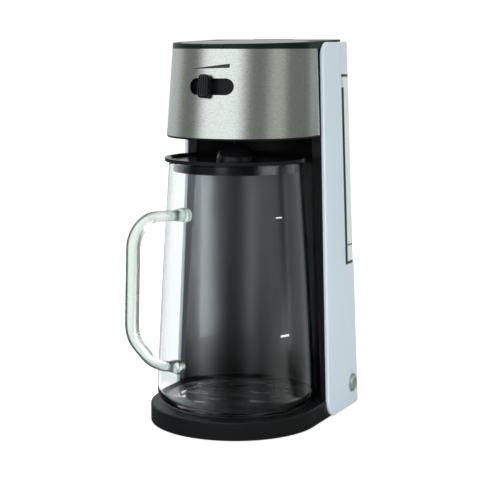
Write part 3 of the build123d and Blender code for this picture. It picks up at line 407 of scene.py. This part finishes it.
FROST_SPREAD, FROST_GLOSS = 0.14, 0.2
clear_rod = Finish("clear_rod", IOR=1.3, Transmission_Weight=1.0)
frost = clear_rod.noise(14.0)
clear_rod.feed(
    Base_Color=clear_rod.blend(frost, rgb(0.70, 0.79, 0.73), rgb(0.78, 0.86, 0.81)),
    Roughness=frost * FROST_SPREAD + FROST_GLOSS,
)
print("glass ready")

# %% Tank plastic
# places of the painted shade on the front wall and of the seams in metres, then how rough the haze
# makes the plastic
FRONT_WALL, PAINTED_SHADE_TOP = 0.0836, 0.296
FOOT_LINE, FOOT_LINE_HALF = 0.1515, 0.0006
TANK_FOOT, CAP_JOINT = 0.1364, 0.3054
HAZE_SPREAD, HAZE_GLOSS = 0.12, 0.28

tank_plastic = Finish("tank_plastic", IOR=1.45, Transmission_Weight=0.15)
haze = tank_plastic.noise(20.0)
milky = tank_plastic.blend(haze, rgb(0.84, 0.91, 0.88), rgb(0.88, 0.94, 0.91))
tank_y, tank_z = tank_plastic.axis("Y"), tank_plastic.axis("Z")
# painted shade: the tank's front wall is coloured dark, standing in for the shade in the gap to the
# column
front_wall_painted_shade = (tank_y < FRONT_WALL) * (tank_z < PAINTED_SHADE_TOP)
foot_seam = (abs(tank_z - FOOT_LINE) < FOOT_LINE_HALF) + (tank_z < TANK_FOOT)
painted_shade_and_seams = front_wall_painted_shade + foot_seam + (tank_z > CAP_JOINT)
# the dark colour is painted shade on the front wall, and dark lines and areas at the foot and the
# cap
tank_plastic.feed(
    Base_Color=tank_plastic.blend(painted_shade_and_seams, milky, rgb(0.05, 0.07, 0.075)),
    Roughness=haze * HAZE_SPREAD + HAZE_GLOSS,
)
print("tank plastic ready")

# %% [markdown]
# ## Finishes on the CAD pieces
# The record gives each CAD piece a slot, which is the kind of stuff that it is made of. A CAD
# piece keeps its own mesh, and only the material in its slots is changed.

# %% Finishes on the CAD pieces
finishes = {
    "body_black": black_body,
    "lid_black": black_gloss,
    "panel_white": white_panel,
    "foot_rubber": foot_rubber,
    "seal_silicone": grey_silicone,
    "screw_steel": plain_steel,
    "band_steel": band_steel,
    "mesh_steel": mesh_steel,
    "cast_aluminium": cast_aluminium,
    "button_chrome": button_metal,
    "clear_glass": clear_glass,
    "tank_clear": tank_plastic,
}
slot_of = {part["node"]: part["material_slot"] for part in frame["record"]["subparts"]}
for node, piece in frame["nodes"].items():
    for place in piece.material_slots:
        place.material = finishes[slot_of[node]].material
print("finished", len(frame["nodes"]), "CAD pieces")

# %% [markdown]
# ## Surfaces from arrays
# The new pieces are grids of points worked out with numpy. A turned piece is a profile of radii
# and heights carried round an axis; a bent rod is a section carried along a path. Both give rows
# and columns of points, and the same helper joins them into quads.


# %% Grid helpers
def grid_quads(rows, columns, close_rows, close_columns):
    """Corners of the quads of a grid; a closed direction joins its last line to its first."""
    row = np.arange(rows if close_rows else rows - 1)
    column = np.arange(columns if close_columns else columns - 1)
    r, c = np.meshgrid(row, column, indexing="ij")
    r2, c2 = (r + 1) % rows, (c + 1) % columns
    corners = [r * columns + c, r * columns + c2, r2 * columns + c2, r2 * columns + c]
    return np.stack(corners, axis=-1).reshape(-1, 4)


def capped_tube(rings):
    """Points and quads of a tube from its rings; at each end a ring of no size, at the mean of the
    last ring's points, closes the tube with a pole."""
    steps = rings.shape[1]
    ends = np.repeat(rings[[0, -1]].mean(axis=1, keepdims=True), steps, axis=1)
    rings = np.concatenate([ends[:1], rings, ends[1:]])
    return rings.reshape(-1, 3), grid_quads(len(rings), steps, False, True)


print("grid helpers ready")

# %% [markdown]
# ## From arrays to a piece
# One helper makes every piece: it joins the parts, merges doubles where a surface closes in a
# pole, turns the faces outwards, and lets the piece ride on a body of the machine.

# %% Making a piece
MERGE_DISTANCE = 2e-6


def make_piece(name, parts, finish, body):
    """One smooth object from (points, quads) parts in millimetres, which rides on its body."""
    shift, all_points, all_quads = 0, [], []
    for points, quads in parts:
        all_points.append(points)
        all_quads.append(quads + shift)
        shift += len(points)
    mesh = bpy.data.meshes.new(name)
    points, quads = np.concatenate(all_points) * MM, np.concatenate(all_quads)
    mesh.from_pydata(points.tolist(), [], quads.tolist())
    mesh.update()
    work = bmesh.new()
    work.from_mesh(mesh)
    bmesh.ops.remove_doubles(work, verts=work.verts, dist=MERGE_DISTANCE)
    bmesh.ops.recalc_face_normals(work, faces=work.faces)
    work.to_mesh(mesh)
    work.free()
    mesh.polygons.foreach_set("use_smooth", np.ones(len(mesh.polygons), dtype=bool))
    mesh.materials.append(finish.material)
    piece = bpy.data.objects.new(name, mesh)
    bpy.context.scene.collection.objects.link(piece)
    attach(piece, body)
    print(name, len(mesh.vertices), "points", len(mesh.polygons), "faces")
    return piece


print("piece maker ready")

# %% [markdown]
# ## Profiles
# A profile is a row of (radius, height) points. Three helpers make its stretches: a polyline cut
# into short steps, an arc for a round corner, and a bowed wall, which is the circle through three
# points.


# %% Profile helpers
def run_of(points):
    """Distance along a polyline at each of its points."""
    return np.concatenate([[0.0], np.cumsum(np.hypot(*np.diff(points, axis=0).T))])


def fine(points, step):
    """Resamples a polyline so that its points are at most about `step` apart."""
    points = np.asarray(points, dtype=float)
    run = run_of(points)
    where = np.linspace(0.0, run[-1], max(int(run[-1] / step), 2) + 1)
    return np.stack([np.interp(where, run, points[:, k]) for k in range(2)], axis=-1)


def arc(centre, radius, start, end, count):
    """Points centre + radius (cos a, sin a) for angles a from start to end, in degrees."""
    angle = np.radians(np.linspace(start, end, count))
    x, y = centre[0] + radius * np.cos(angle), centre[1] + radius * np.sin(angle)
    return np.stack([x, y], axis=-1)


def bowed_wall(first, middle, last, count):
    """Points of the circle through three points, evenly spaced in height. The centre c solves
    2 (p - first) . c = p . p - first . first for the other two points p."""
    (x1, y1), (x2, y2), (x3, y3) = first, middle, last
    matrix = np.array([[x2 - x1, y2 - y1], [x3 - x1, y3 - y1]], dtype=float) * 2.0
    known = [x2**2 - x1**2 + y2**2 - y1**2, x3**2 - x1**2 + y3**2 - y1**2]
    centre = np.linalg.solve(matrix, np.array(known, dtype=float))
    reach = np.hypot(x1 - centre[0], y1 - centre[1])
    height = np.linspace(y1, y3, count)
    bow = np.sign(x2 - centre[0]) * np.sqrt(reach**2 - (height - centre[1]) ** 2)
    return np.stack([centre[0] + bow, height], axis=-1)


def turned(profile, centre_y, steps):
    """Turned surface: x = r sin a, y = centre - r cos a, z = h for each (r, h) of the profile and
    each angle a once round the upright axis."""
    angle = np.linspace(0.0, 2.0 * np.pi, steps, endpoint=False)
    radius, height = np.asarray(profile, dtype=float).T
    x = radius[:, None] * np.sin(angle)
    y = centre_y - radius[:, None] * np.cos(angle)
    z = np.repeat(height[:, None], steps, axis=1)
    points = np.stack([x, y, z], axis=-1).reshape(-1, 3)
    return points, grid_quads(len(radius), steps, False, True)


print("profile helpers ready")

# %% [markdown]
# ## The glass pitcher
# Blown glass has no edges: the wall swells from the rim to the foot, turns through a round corner
# and runs into a thick floor. The whole skin, outside and inside, is one turned surface.

# %% Glass profile
pitcher_y = 1.0
UNDERSIDE, FOOT_RING, FLOOR_TOP = 18.3, 17.1, 21.6  # heights
RECESS_EDGE, RING_START = 48.5, 53.0  # radii
# centre and radius of each round turn
OUTER_CORNER, OUTER_ROUND = (59.3, 28.6), 11.5
INNER_CORNER, INNER_ROUND = (60.2, 30.6), 9.0
RIM, RIM_ROUND = (58.0, 232.0), 0.8
WALL_ROWS = 90

# radius and height over the corner, at the middle and at the rim
outer_wall = bowed_wall((70.8, 28.6), (65.8, 125.0), (58.8, 232.0), WALL_ROWS)
inner_wall = bowed_wall((69.2, 30.6), (64.2, 125.0), (57.2, 232.0), WALL_ROWS)
glass_profile = np.concatenate(
    [
        fine([(0.0, UNDERSIDE), (RECESS_EDGE, UNDERSIDE)], 4.0),
        fine([(RECESS_EDGE, UNDERSIDE), (51.0, 17.4), (RING_START, FOOT_RING)], 0.8)[1:],
        fine([(RING_START, FOOT_RING), (OUTER_CORNER[0], FOOT_RING)], 2.0)[1:],
        arc(OUTER_CORNER, OUTER_ROUND, -90, 0, 18)[1:],
        outer_wall[1:],
        arc(RIM, RIM_ROUND, 0, 180, 10)[1:],
        inner_wall[::-1][1:],
        arc(INNER_CORNER, INNER_ROUND, 0, -90, 16)[1:],
        fine([(INNER_CORNER[0], FLOOR_TOP), (0.0, FLOOR_TOP)], 1.2)[1:],
    ]
)
print("glass profile of", len(glass_profile), "points")

# %% [markdown]
# ## Ripples and the pouring lip
# The inside of the floor is never flat in blown glass, and its ripples catch the light. Three
# crossed sine waves give them real height, because a bump in the material would only speckle. The
# pouring lip is the same skin pushed outwards near the rim, by a bell curve round the pitcher
# times a curve that fades down the wall.

# %% Ripples and lip
RIPPLE = 0.2
# sideways and lengthways steepness and start of each wave, in radians to the millimetre
WAVES = ((0.12, 0.24, 0.0), (-0.07, 0.38, 1.0), (0.19, -0.11, 2.0))
CALM_RADIUS, CALM_WIDTH = 60.0, 10.0
LEVEL_WITHIN = 0.01
LIP_PUSH, LIP_SPREAD = 3.4, 0.17
LIP_FOOT, LIP_HEIGHT = 205.0, 28.0
lip_turn = radians(20.6)


def with_floor_waves(points):
    """Adds RIPPLE times the sum of sin(a x + b y + c) to the height of the inside floor, up to
    0.6 mm, and fades it to nothing at the floor's edge."""
    x, y, z = points.T
    reach = np.hypot(x, y - pitcher_y)
    calm = np.clip((CALM_RADIUS - reach) / CALM_WIDTH, 0.0, 1.0)
    inside_floor = (np.abs(z - FLOOR_TOP) < LEVEL_WITHIN) * calm
    wave = sum(np.sin(x * a + y * b + c) for a, b, c in WAVES)
    moved = points.copy()
    moved[:, 2] += RIPPLE * wave * inside_floor
    return moved


def with_lip(points):
    """Pushes the rim out by LIP_PUSH exp(-(a / LIP_SPREAD)^2) s^2, where a is the angle from the
    lip's side and s runs from 0 at the lip's foot to 1 at the rim."""
    x, y = points[:, 0], points[:, 1] - pitcher_y
    radius = np.hypot(x, y)
    across = x * np.cos(lip_turn) - y * np.sin(lip_turn)
    ahead = x * np.sin(lip_turn) + y * np.cos(lip_turn)
    bell = np.exp(-((np.arctan2(across, ahead) / LIP_SPREAD) ** 2))
    rise = np.clip((points[:, 2] - LIP_FOOT) / LIP_HEIGHT, 0.0, 1.0) ** 2
    push = LIP_PUSH * bell * rise / np.maximum(radius, 1.0)
    moved = points.copy()
    moved[:, 0] += x * push
    moved[:, 1] += y * push
    return moved


print("ripples of up to", round(RIPPLE * len(WAVES), 1), "mm and a lip of", LIP_PUSH, "mm")

# %% Pitcher glass
GLASS_STEPS = 240
glass_points, glass_quads = turned(glass_profile, pitcher_y, GLASS_STEPS)
glass_points = with_lip(with_floor_waves(glass_points))
pitcher_glass = make_piece(
    "pitcher_skin", [(glass_points, glass_quads)], clear_glass, "pitcher"
)
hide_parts("pitcher_glass")

# %% [markdown]
# ## The glass handle
# The handle is a drawn rod, a little flatter than round, bent into a tall loop and melted on to
# the pitcher. Its middle line is a polyline with rounded corners, in the upright plane through
# the lip, on the far side from it. A section between a round and a flat bar is carried along that
# line, and it swells into a pad at both ends, where the melted glass spread.

# %% Handle line
BEND_STEPS = 24


def rounded_path(corners, radii, step):
    """Polyline whose corners are replaced by tangent arcs, as points about `step` apart. An arc of
    radius r starts r / tan(h) from its corner, where h is half of the corner's angle."""
    corners = np.asarray(corners, dtype=float)
    pieces = [corners[:1]]
    for corner, before, after, radius in zip(corners[1:], corners, corners[2:], radii):
        before, after = before - corner, after - corner
        before, after = before / np.linalg.norm(before), after / np.linalg.norm(after)
        half = np.arccos(np.clip(before @ after, -1.0, 1.0)) / 2.0
        reach = radius / np.tan(half)
        bisector = (before + after) / np.linalg.norm(before + after)
        centre = corner + bisector * radius / np.sin(half)
        first, last = corner + before * reach - centre, corner + after * reach - centre
        share = np.linspace(0.0, 1.0, BEND_STEPS)[:, None]
        angle = np.arccos(np.clip(first @ last / radius**2, -1.0, 1.0))
        bend = np.sin((1 - share) * angle) * first + np.sin(share * angle) * last
        pieces.append(centre + bend / np.sin(angle))
    pieces.append(corners[-1:])
    return fine(np.concatenate(pieces), step)


# radius and height of each corner, from the upper weld to the lower one
HANDLE_CORNERS = [(59.4, 190.0), (116.0, 192.6), (119.4, 92.0), (95.0, 64.0), (67.6, 57.6)]
HANDLE_BENDS = [26.0, 30.0, 40.0]
HANDLE_STEP = 1.5
handle_line = rounded_path(HANDLE_CORNERS, HANDLE_BENDS, HANDLE_STEP)
handle_run = run_of(handle_line)
print("handle line", round(handle_run[-1], 1), "mm long")

# %% Pitcher handle
SQUARENESS = 1.25
SECTION_STEPS = 40
HALF_THICK, HALF_WIDE = 4.5, 6.9
PAD_THICKER, PAD_WIDER = 1.6, 1.8
PAD_FULL, PAD_FADE = 2.0, 9.0  # lengths from the weld


def ease(share):
    """Smooth step 3 s^2 - 2 s^3 from 0 to 1."""
    share = np.clip(share, 0.0, 1.0)
    return share * share * (3.0 - 2.0 * share)


def flattened(wave):
    """sign(w) |w|^(1 / SQUARENESS) for a sine or cosine w, which squares a circle a little."""
    return np.sign(wave) * np.abs(wave) ** (1 / SQUARENESS)


along = np.gradient(handle_line, axis=0)
along /= np.linalg.norm(along, axis=1)[:, None]
side = np.stack([-along[:, 1], along[:, 0]], axis=-1)
to_weld = np.minimum(handle_run, handle_run[-1] - handle_run)
pad = 1.0 - ease((to_weld - PAD_FULL) / PAD_FADE)
turn = np.linspace(0.0, 2.0 * np.pi, SECTION_STEPS, endpoint=False)
half_thick = (HALF_THICK + PAD_THICKER * pad)[:, None]
half_wide = (HALF_WIDE + PAD_WIDER * pad)[:, None]
radial = handle_line[:, None, 0] + side[:, None, 0] * half_thick * flattened(np.cos(turn))
height = handle_line[:, None, 1] + side[:, None, 1] * half_thick * flattened(np.cos(turn))
across = half_wide * flattened(np.sin(turn))
handle_x = -radial * np.sin(lip_turn) - across * np.cos(lip_turn)
handle_y = pitcher_y - radial * np.cos(lip_turn) + across * np.sin(lip_turn)
handle_rings = np.stack([handle_x, handle_y, height], axis=-1)
handle = make_piece(
    "pitcher_handle_rod", [capped_tube(handle_rings)], clear_rod, "pitcher"
)
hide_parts("pitcher_handle")

# %% [markdown]
# ## Fill marks
# Two short white bars are printed on the glass, one for the water that is brewed and one for the
# top of the ice. Each is a thin curved patch that lies on the outside of the wall. It is a closed
# shell: each level row runs along its inner side and back along its outer side.

# %% Fill marks
PRINT_LIFT, PRINT_THICK = 0.03, 0.12
PATCH_ROWS, PATCH_COLUMNS = 4, 16


def printed_patch(start, end, low, high):
    """Closed patch x = r sin a, y = centre - r cos a between two angles in degrees and two heights,
    where r is the wall's radius at that height plus the lift of the inner or outer side."""
    angle = np.radians(np.linspace(start, end, PATCH_COLUMNS))
    height = np.linspace(low, high, PATCH_ROWS)
    sides = []
    for lift in (PRINT_LIFT, PRINT_LIFT + PRINT_THICK):
        reach = np.interp(height, outer_wall[:, 1], outer_wall[:, 0])[:, None] + lift
        x, y = reach * np.sin(angle), pitcher_y - reach * np.cos(angle)
        z = np.repeat(height[:, None], len(angle), axis=1)
        sides.append(np.stack([x, y, z], axis=-1))
    inner, outer = sides
    ring = np.concatenate([inner, outer[:, ::-1]], axis=1)
    quads = [grid_quads(len(height), ring.shape[1], False, True)]
    k = np.arange(len(angle) - 1)
    last = ring.shape[1] - 1
    for base in (0, (len(height) - 1) * ring.shape[1]):
        quads.append(base + np.stack([k, k + 1, last - 1 - k, last - k], axis=-1))
    return ring.reshape(-1, 3), np.concatenate(quads)


mark_white = moulded(
    "mark_white",
    dark=rgb(0.78, 0.78, 0.78),
    light=rgb(0.84, 0.84, 0.84),
    gloss=0.4,
    spread=0.1,
    grain=900.0,
    depth=0.00001,
)
ice_mark = printed_patch(59.5, 65.5, 188.2, 189.4)
water_mark = printed_patch(60.5, 68.5, 86.0, 88.0)
make_piece("fill_marks", [ice_mark, water_mark], mark_white, "pitcher")

# %% [markdown]
# ## Springs
# The button's spring and the drip stop's spring take the place of their CAD pieces. Each is a coil
# of round wire with the same pitch all along, which rides on the machine. For each, the end that
# stays still and the share of its length left at full travel are worked out, but nothing uses them.

# %% Springs
WIRE_RADIUS = 0.4
TURN_STEPS, WIRE_STEPS = 28, 12


def coil(foot, direction, radius, pitch, height):
    """Round wire along a helix: foot + direction pitch t + radius (cos 2 pi t, sin 2 pi t)."""
    across = np.array([0.0, 1.0, 0.0])
    third = np.cross(direction, across)
    turns = height / pitch
    turn = np.linspace(0.0, turns, int(TURN_STEPS * turns))[:, None]
    cos, sin = np.cos(2.0 * np.pi * turn), np.sin(2.0 * np.pi * turn)
    outward, onward = cos * across + sin * third, cos * third - sin * across
    line = foot + direction * pitch * turn + radius * outward
    tangent = 2.0 * np.pi * radius * onward + pitch * direction
    tangent /= np.linalg.norm(tangent, axis=1, keepdims=True)
    side = np.cross(tangent, outward)
    angle = np.linspace(0.0, 2.0 * np.pi, WIRE_STEPS, endpoint=False)[None, :, None]
    ring = np.cos(angle) * outward[:, None] + np.sin(angle) * side[:, None]
    return capped_tube(line[:, None] + WIRE_RADIUS * ring)


springs = (
    {
        "node": "drip_spring",
        "joint": "drip_lift",
        "travel": 3.0,
        "foot": (0.0, pitcher_y, 253.8),
        "direction": (0, 0, 1),
        "shape": {"radius": 3.8, "pitch": 2.6, "height": 8.8},
        "still_end": "top",
    },
    {
        "node": "button_spring",
        "joint": "button_press",
        "travel": 2.0,
        "foot": (64.376, 86.0, 21.457),
        "direction": (1, 0, 0.038),
        "shape": {"radius": 3.4, "pitch": 1.7, "height": 5.0},
        "still_end": "foot",
    },
)
for row in springs:
    node, joint, height = row["node"], row["joint"], row["shape"]["height"]
    foot = np.asarray(row["foot"])
    unit = np.asarray(row["direction"], dtype=float) / np.linalg.norm(row["direction"])
    spring = make_piece(
        node + "_coil", [coil(foot, unit, **row["shape"])], plain_steel, "machine"
    )
    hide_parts(node)
    still = height + WIRE_RADIUS if row["still_end"] == "top" else -WIRE_RADIUS
    anchor = (foot + unit * still) * MM
    length = height + 2.0 * WIRE_RADIUS
    keep = (length - row["travel"]) / length
    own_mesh(spring)

# %% [markdown]
# ## Strength mark
# A long wedge is printed on the band over the slot: thin on the weak side, thick on the strong
# side. The band leans back as it rises, so each row of the patch has its own radius and its own
# centre.

# %% Strength mark
BAND_RADIUS, BAND_TAPER = 76.4, 0.038
BAND_FOOT, BAND_TALL = 256.0, 75.0
BAND_FOOT_CENTRE, BAND_LEAN = 13.5, 5.4
WEDGE_COLUMNS = 48
WEDGE_FROM, WEDGE_TO = -15.8, 15.0  # degrees from straight ahead
LOW_EDGE, LOW_RISE = 314.2, 1.2
HIGH_EDGE, HIGH_RISE = 314.5, 4.2
INNER_LIFT, OUTER_LIFT = 0.04, 0.14


def band_point(angle, height, lift):
    """Point x = r sin a, y = c - r cos a on the outside of the band, at an angle a from straight
    ahead, where the radius r shrinks and the centre c moves back with height."""
    reach = BAND_RADIUS - BAND_TAPER * height + lift
    centre = BAND_FOOT_CENTRE + BAND_LEAN * (height - BAND_FOOT) / BAND_TALL
    x, y = reach * np.sin(angle), centre - reach * np.cos(angle)
    return np.stack([x, y, height + 0.0 * angle], axis=-1)


wedge_angle = np.radians(np.linspace(WEDGE_FROM, WEDGE_TO, WEDGE_COLUMNS))
share = np.linspace(0.0, 1.0, WEDGE_COLUMNS)
wedge_low = LOW_EDGE + LOW_RISE * share
wedge_tall = HIGH_EDGE + HIGH_RISE * share - wedge_low
# three rows up the inner side and three down the outer side make a closed ring at each column
wedge_rows = [(INNER_LIFT, part) for part in (0.0, 0.5, 1.0)]
wedge_rows += [(OUTER_LIFT, part) for part in (1.0, 0.5, 0.0)]
wedge = np.stack(
    [band_point(wedge_angle, wedge_low + wedge_tall * part, lift) for lift, part in wedge_rows]
)
end_rows = np.array([(0, 1, 4, 5), (1, 2, 3, 4)]) * WEDGE_COLUMNS
wedge_sides = grid_quads(len(wedge_rows), WEDGE_COLUMNS, True, False)
wedge_quads = np.concatenate([wedge_sides, end_rows, end_rows + WEDGE_COLUMNS - 1])
ink_black = moulded(
    "ink_black",
    dark=rgb(0.015, 0.015, 0.015),
    light=rgb(0.025, 0.025, 0.025),
    gloss=0.45,
    spread=0.1,
    grain=900.0,
    depth=0.00001,
)
make_piece(
    "strength_mark", [(wedge.reshape(-1, 3), wedge_quads)], ink_black, "machine"
)

# %% [markdown]
# ## What stands round the machine
# Metal and glass only look real when they have something to mirror. The bearing of a direction
# says which way it looks, and a lobe is a soft upright strip of light between two bearings. The
# clear pieces would lose their outline against white, so they get a studio of their own: white
# behind, a tall strip on each side and a narrow one ahead, and darkness between them.

# %% Bearings and lobes
# bearings where each strip starts, is full from, is full to and ends, then how bright it is
GLASS_STRIPS = (
    ((-136.0, -108.0, -90.0, -54.0), 1.8),
    ((58.0, 86.0, 96.0, 110.0), 4.6),
    ((-15.0, -4.0, 4.0, 18.0), 1.0),
)
GLASS_BEHIND = (104.0, 136.0)
GLASS_DIM, GLASS_FULL, GLASS_FULL_BLUE = 0.02, 6.0, 6.15
black, white = rgb(0.0, 0.0, 0.0), rgb(1.0, 1.0, 1.0)


def ray(network, kind):
    """1 for rays of one kind (Camera, Glossy or Transmission), 0 for all others."""
    return network.node("ShaderNodeLightPath", {}, {}, f"Is {kind} Ray")


def total(network, *colours):
    """Sum of colours."""
    result = colours[0]
    for colour in colours[1:]:
        inputs = {0: result, 1: colour}
        result = network.node("ShaderNodeVectorMath", {"operation": "ADD"}, inputs)
    return result


def bearing_of(network, place):
    """Bearing of a place or direction: 0 straight ahead of the machine, 90 on its right."""
    east = network.node("ShaderNodeSeparateXYZ", {}, {0: place}, "X")
    north = network.node("ShaderNodeSeparateXYZ", {}, {0: place}, "Y")
    return east.math("ARCTAN2", east, -north) * degrees(1.0)


def lobe(network, bearing, start, full_from, full_to, end):
    """Soft band between two bearings, fading at both sides."""
    rise = network.smooth(bearing, start, full_from)
    return rise * (1.0 - network.smooth(bearing, full_to, end))


def studio_through_glass(network, bearing):
    """What the clear pieces show, and how much of it is the white behind the machine."""
    behind = network.smooth(abs(bearing), *GLASS_BEHIND)
    level = sum(lobe(network, bearing, *ends) * bright for ends, bright in GLASS_STRIPS) + GLASS_DIM
    brightest = rgb(GLASS_FULL, GLASS_FULL, GLASS_FULL_BLUE)
    dark = network.blend(level / GLASS_FULL, black, brightest)
    return network.blend(behind, dark, white), behind


print("strips at bearings", [ends[1:3] for ends, bright in GLASS_STRIPS])

# %% [markdown]
# ## Floor
# The floor is a pale sheet that keeps the object's shadow. It glows a little for the camera, so
# that it runs into the white behind it. In the metal it is nearly dark, as a table seen at a low
# angle is, and through the glass it carries the same strips as the world, so they reach down to
# the foot.

# %% Floor
FLOOR_REACH = 4.0
FLOOR_MIRRORED = 0.85  # how much of the floor's light a reflection loses
corners = [(-1, -1, 0), (1, -1, 0), (1, 1, 0), (-1, 1, 0)]
floor_mesh = bpy.data.meshes.new("floor")
floor_mesh.from_pydata((np.array(corners) * FLOOR_REACH).tolist(), [], [(0, 1, 2, 3)])
floor = bpy.data.objects.new("floor", floor_mesh)
bpy.context.scene.collection.objects.link(floor)

paper = Finish("paper_floor", Roughness=0.9, Emission_Strength=1.0)
seen_in_glass, behind = studio_through_glass(paper, bearing_of(paper, paper.place))
mirror_ray, glass_ray = ray(paper, "Glossy"), ray(paper, "Transmission")
lit = 1.0 - mirror_ray * FLOOR_MIRRORED - glass_ray * (1.0 - behind)
sheet = paper.blend(paper.noise(3.0), rgb(0.80, 0.80, 0.80), rgb(0.82, 0.82, 0.82))
camera_glow = paper.blend(ray(paper, "Camera"), black, rgb(0.6, 0.6, 0.6))
glass_glow = paper.blend(glass_ray, black, seen_in_glass)
paper.feed(
    Base_Color=paper.blend(lit, black, sheet),
    Emission_Color=total(paper, camera_glow, glass_glow),
)
floor_mesh.materials.append(paper.material)
print("floor", 2 * FLOOR_REACH, "m wide")

# %% [markdown]
# ## World
# The camera sees a white world. A reflection sees a bright box ahead of the machine, a dim card
# on its right, and a faint glow round the back, which gives the brushed band its light and dark
# bars. The clear pieces see the strips. The light that falls on the object comes from the same
# world.

# %% Studio world
# bearings of the box and the card, as for the strips, and of the two glows' soft edges
FRONT_BOX, SIDE_CARD = (-56.0, -30.0, 12.0, 40.0), (56.0, 74.0, 86.0, 104.0)
LEFT_GLOW, RIGHT_GLOW = (-104.0, -72.0), (140.0, 175.0)

world = bpy.data.worlds.new("studio")
world.use_nodes = True
bpy.context.scene.world = world
sky = Network(world.node_tree)
bearing = bearing_of(sky, sky.node("ShaderNodeTexCoord", {}, {}, "Generated"))
front_box = lobe(sky, bearing, *FRONT_BOX)
side_card = lobe(sky, bearing, *SIDE_CARD)
glows = 1.0 - sky.smooth(bearing, *LEFT_GLOW) + sky.smooth(bearing, *RIGHT_GLOW)
studio = total(
    sky,
    sky.blend(front_box, rgb(0.21, 0.235, 0.205), rgb(1.24, 1.30, 1.31)),
    sky.blend(side_card, black, rgb(0.30, 0.32, 0.29)),
    sky.blend(glows, black, rgb(0.40, 0.43, 0.45)),
)
through_glass = studio_through_glass(sky, bearing)[0]
studio = sky.blend(ray(sky, "Transmission"), studio, through_glass)
sky_colour = sky.blend(ray(sky, "Camera"), studio, white)
sky.plug(sky_colour, sky.tree.nodes["Background"].inputs["Color"])
print("studio world ready")

# %% [markdown]
# ## Lamps
# Soft lamps from the front, the sides, above and behind light the plastic evenly at a plain
# level. They only add light: the world makes the mirror images, so no lamp shows in the metal or
# the glass.


# %% Lamps
def lamp(name, place, target, size, power):
    """Soft rectangular lamp at a place, aimed at a target, that has no mirror image."""
    data = bpy.data.lights.new(name, "AREA")
    data.shape = "RECTANGLE"
    data.size, data.size_y = size
    data.energy = power
    lamp_object = bpy.data.objects.new(name, data)
    lamp_object.location = place
    aim = Vector(target) - Vector(place)
    lamp_object.rotation_euler = aim.to_track_quat("-Z", "Y").to_euler()
    lamp_object.visible_camera = False
    lamp_object.visible_glossy = False
    lamp_object.visible_transmission = False
    bpy.context.scene.collection.objects.link(lamp_object)


middle, panel_foot = (0.0, 0.0, 0.17), (0.08, 0.06, 0.03)
# name, place and target in metres, width and height in metres, watts
lamps = (
    ("key", (-1.0, -1.6, 1.1), middle, (1.2, 1.2), 7.0),
    ("front", (0.7, -1.9, 0.7), middle, (0.9, 0.9), 13.0),
    ("side", (1.9, -0.5, 0.8), middle, (1.2, 1.4), 0.6),
    ("low", (0.55, -0.05, 0.03), panel_foot, (0.25, 0.25), 1.2),
    ("top", (0.2, 0.2, 1.8), middle, (1.4, 1.4), 5.0),
    ("rear", (-1.0, 1.6, 0.9), middle, (1.2, 1.2), 4.0),
)
for settings in lamps:
    lamp(*settings)
bpy.context.scene.view_settings.view_transform = "Standard"
print(len(lamps), "lamps,", sum(settings[-1] for settings in lamps), "watts")
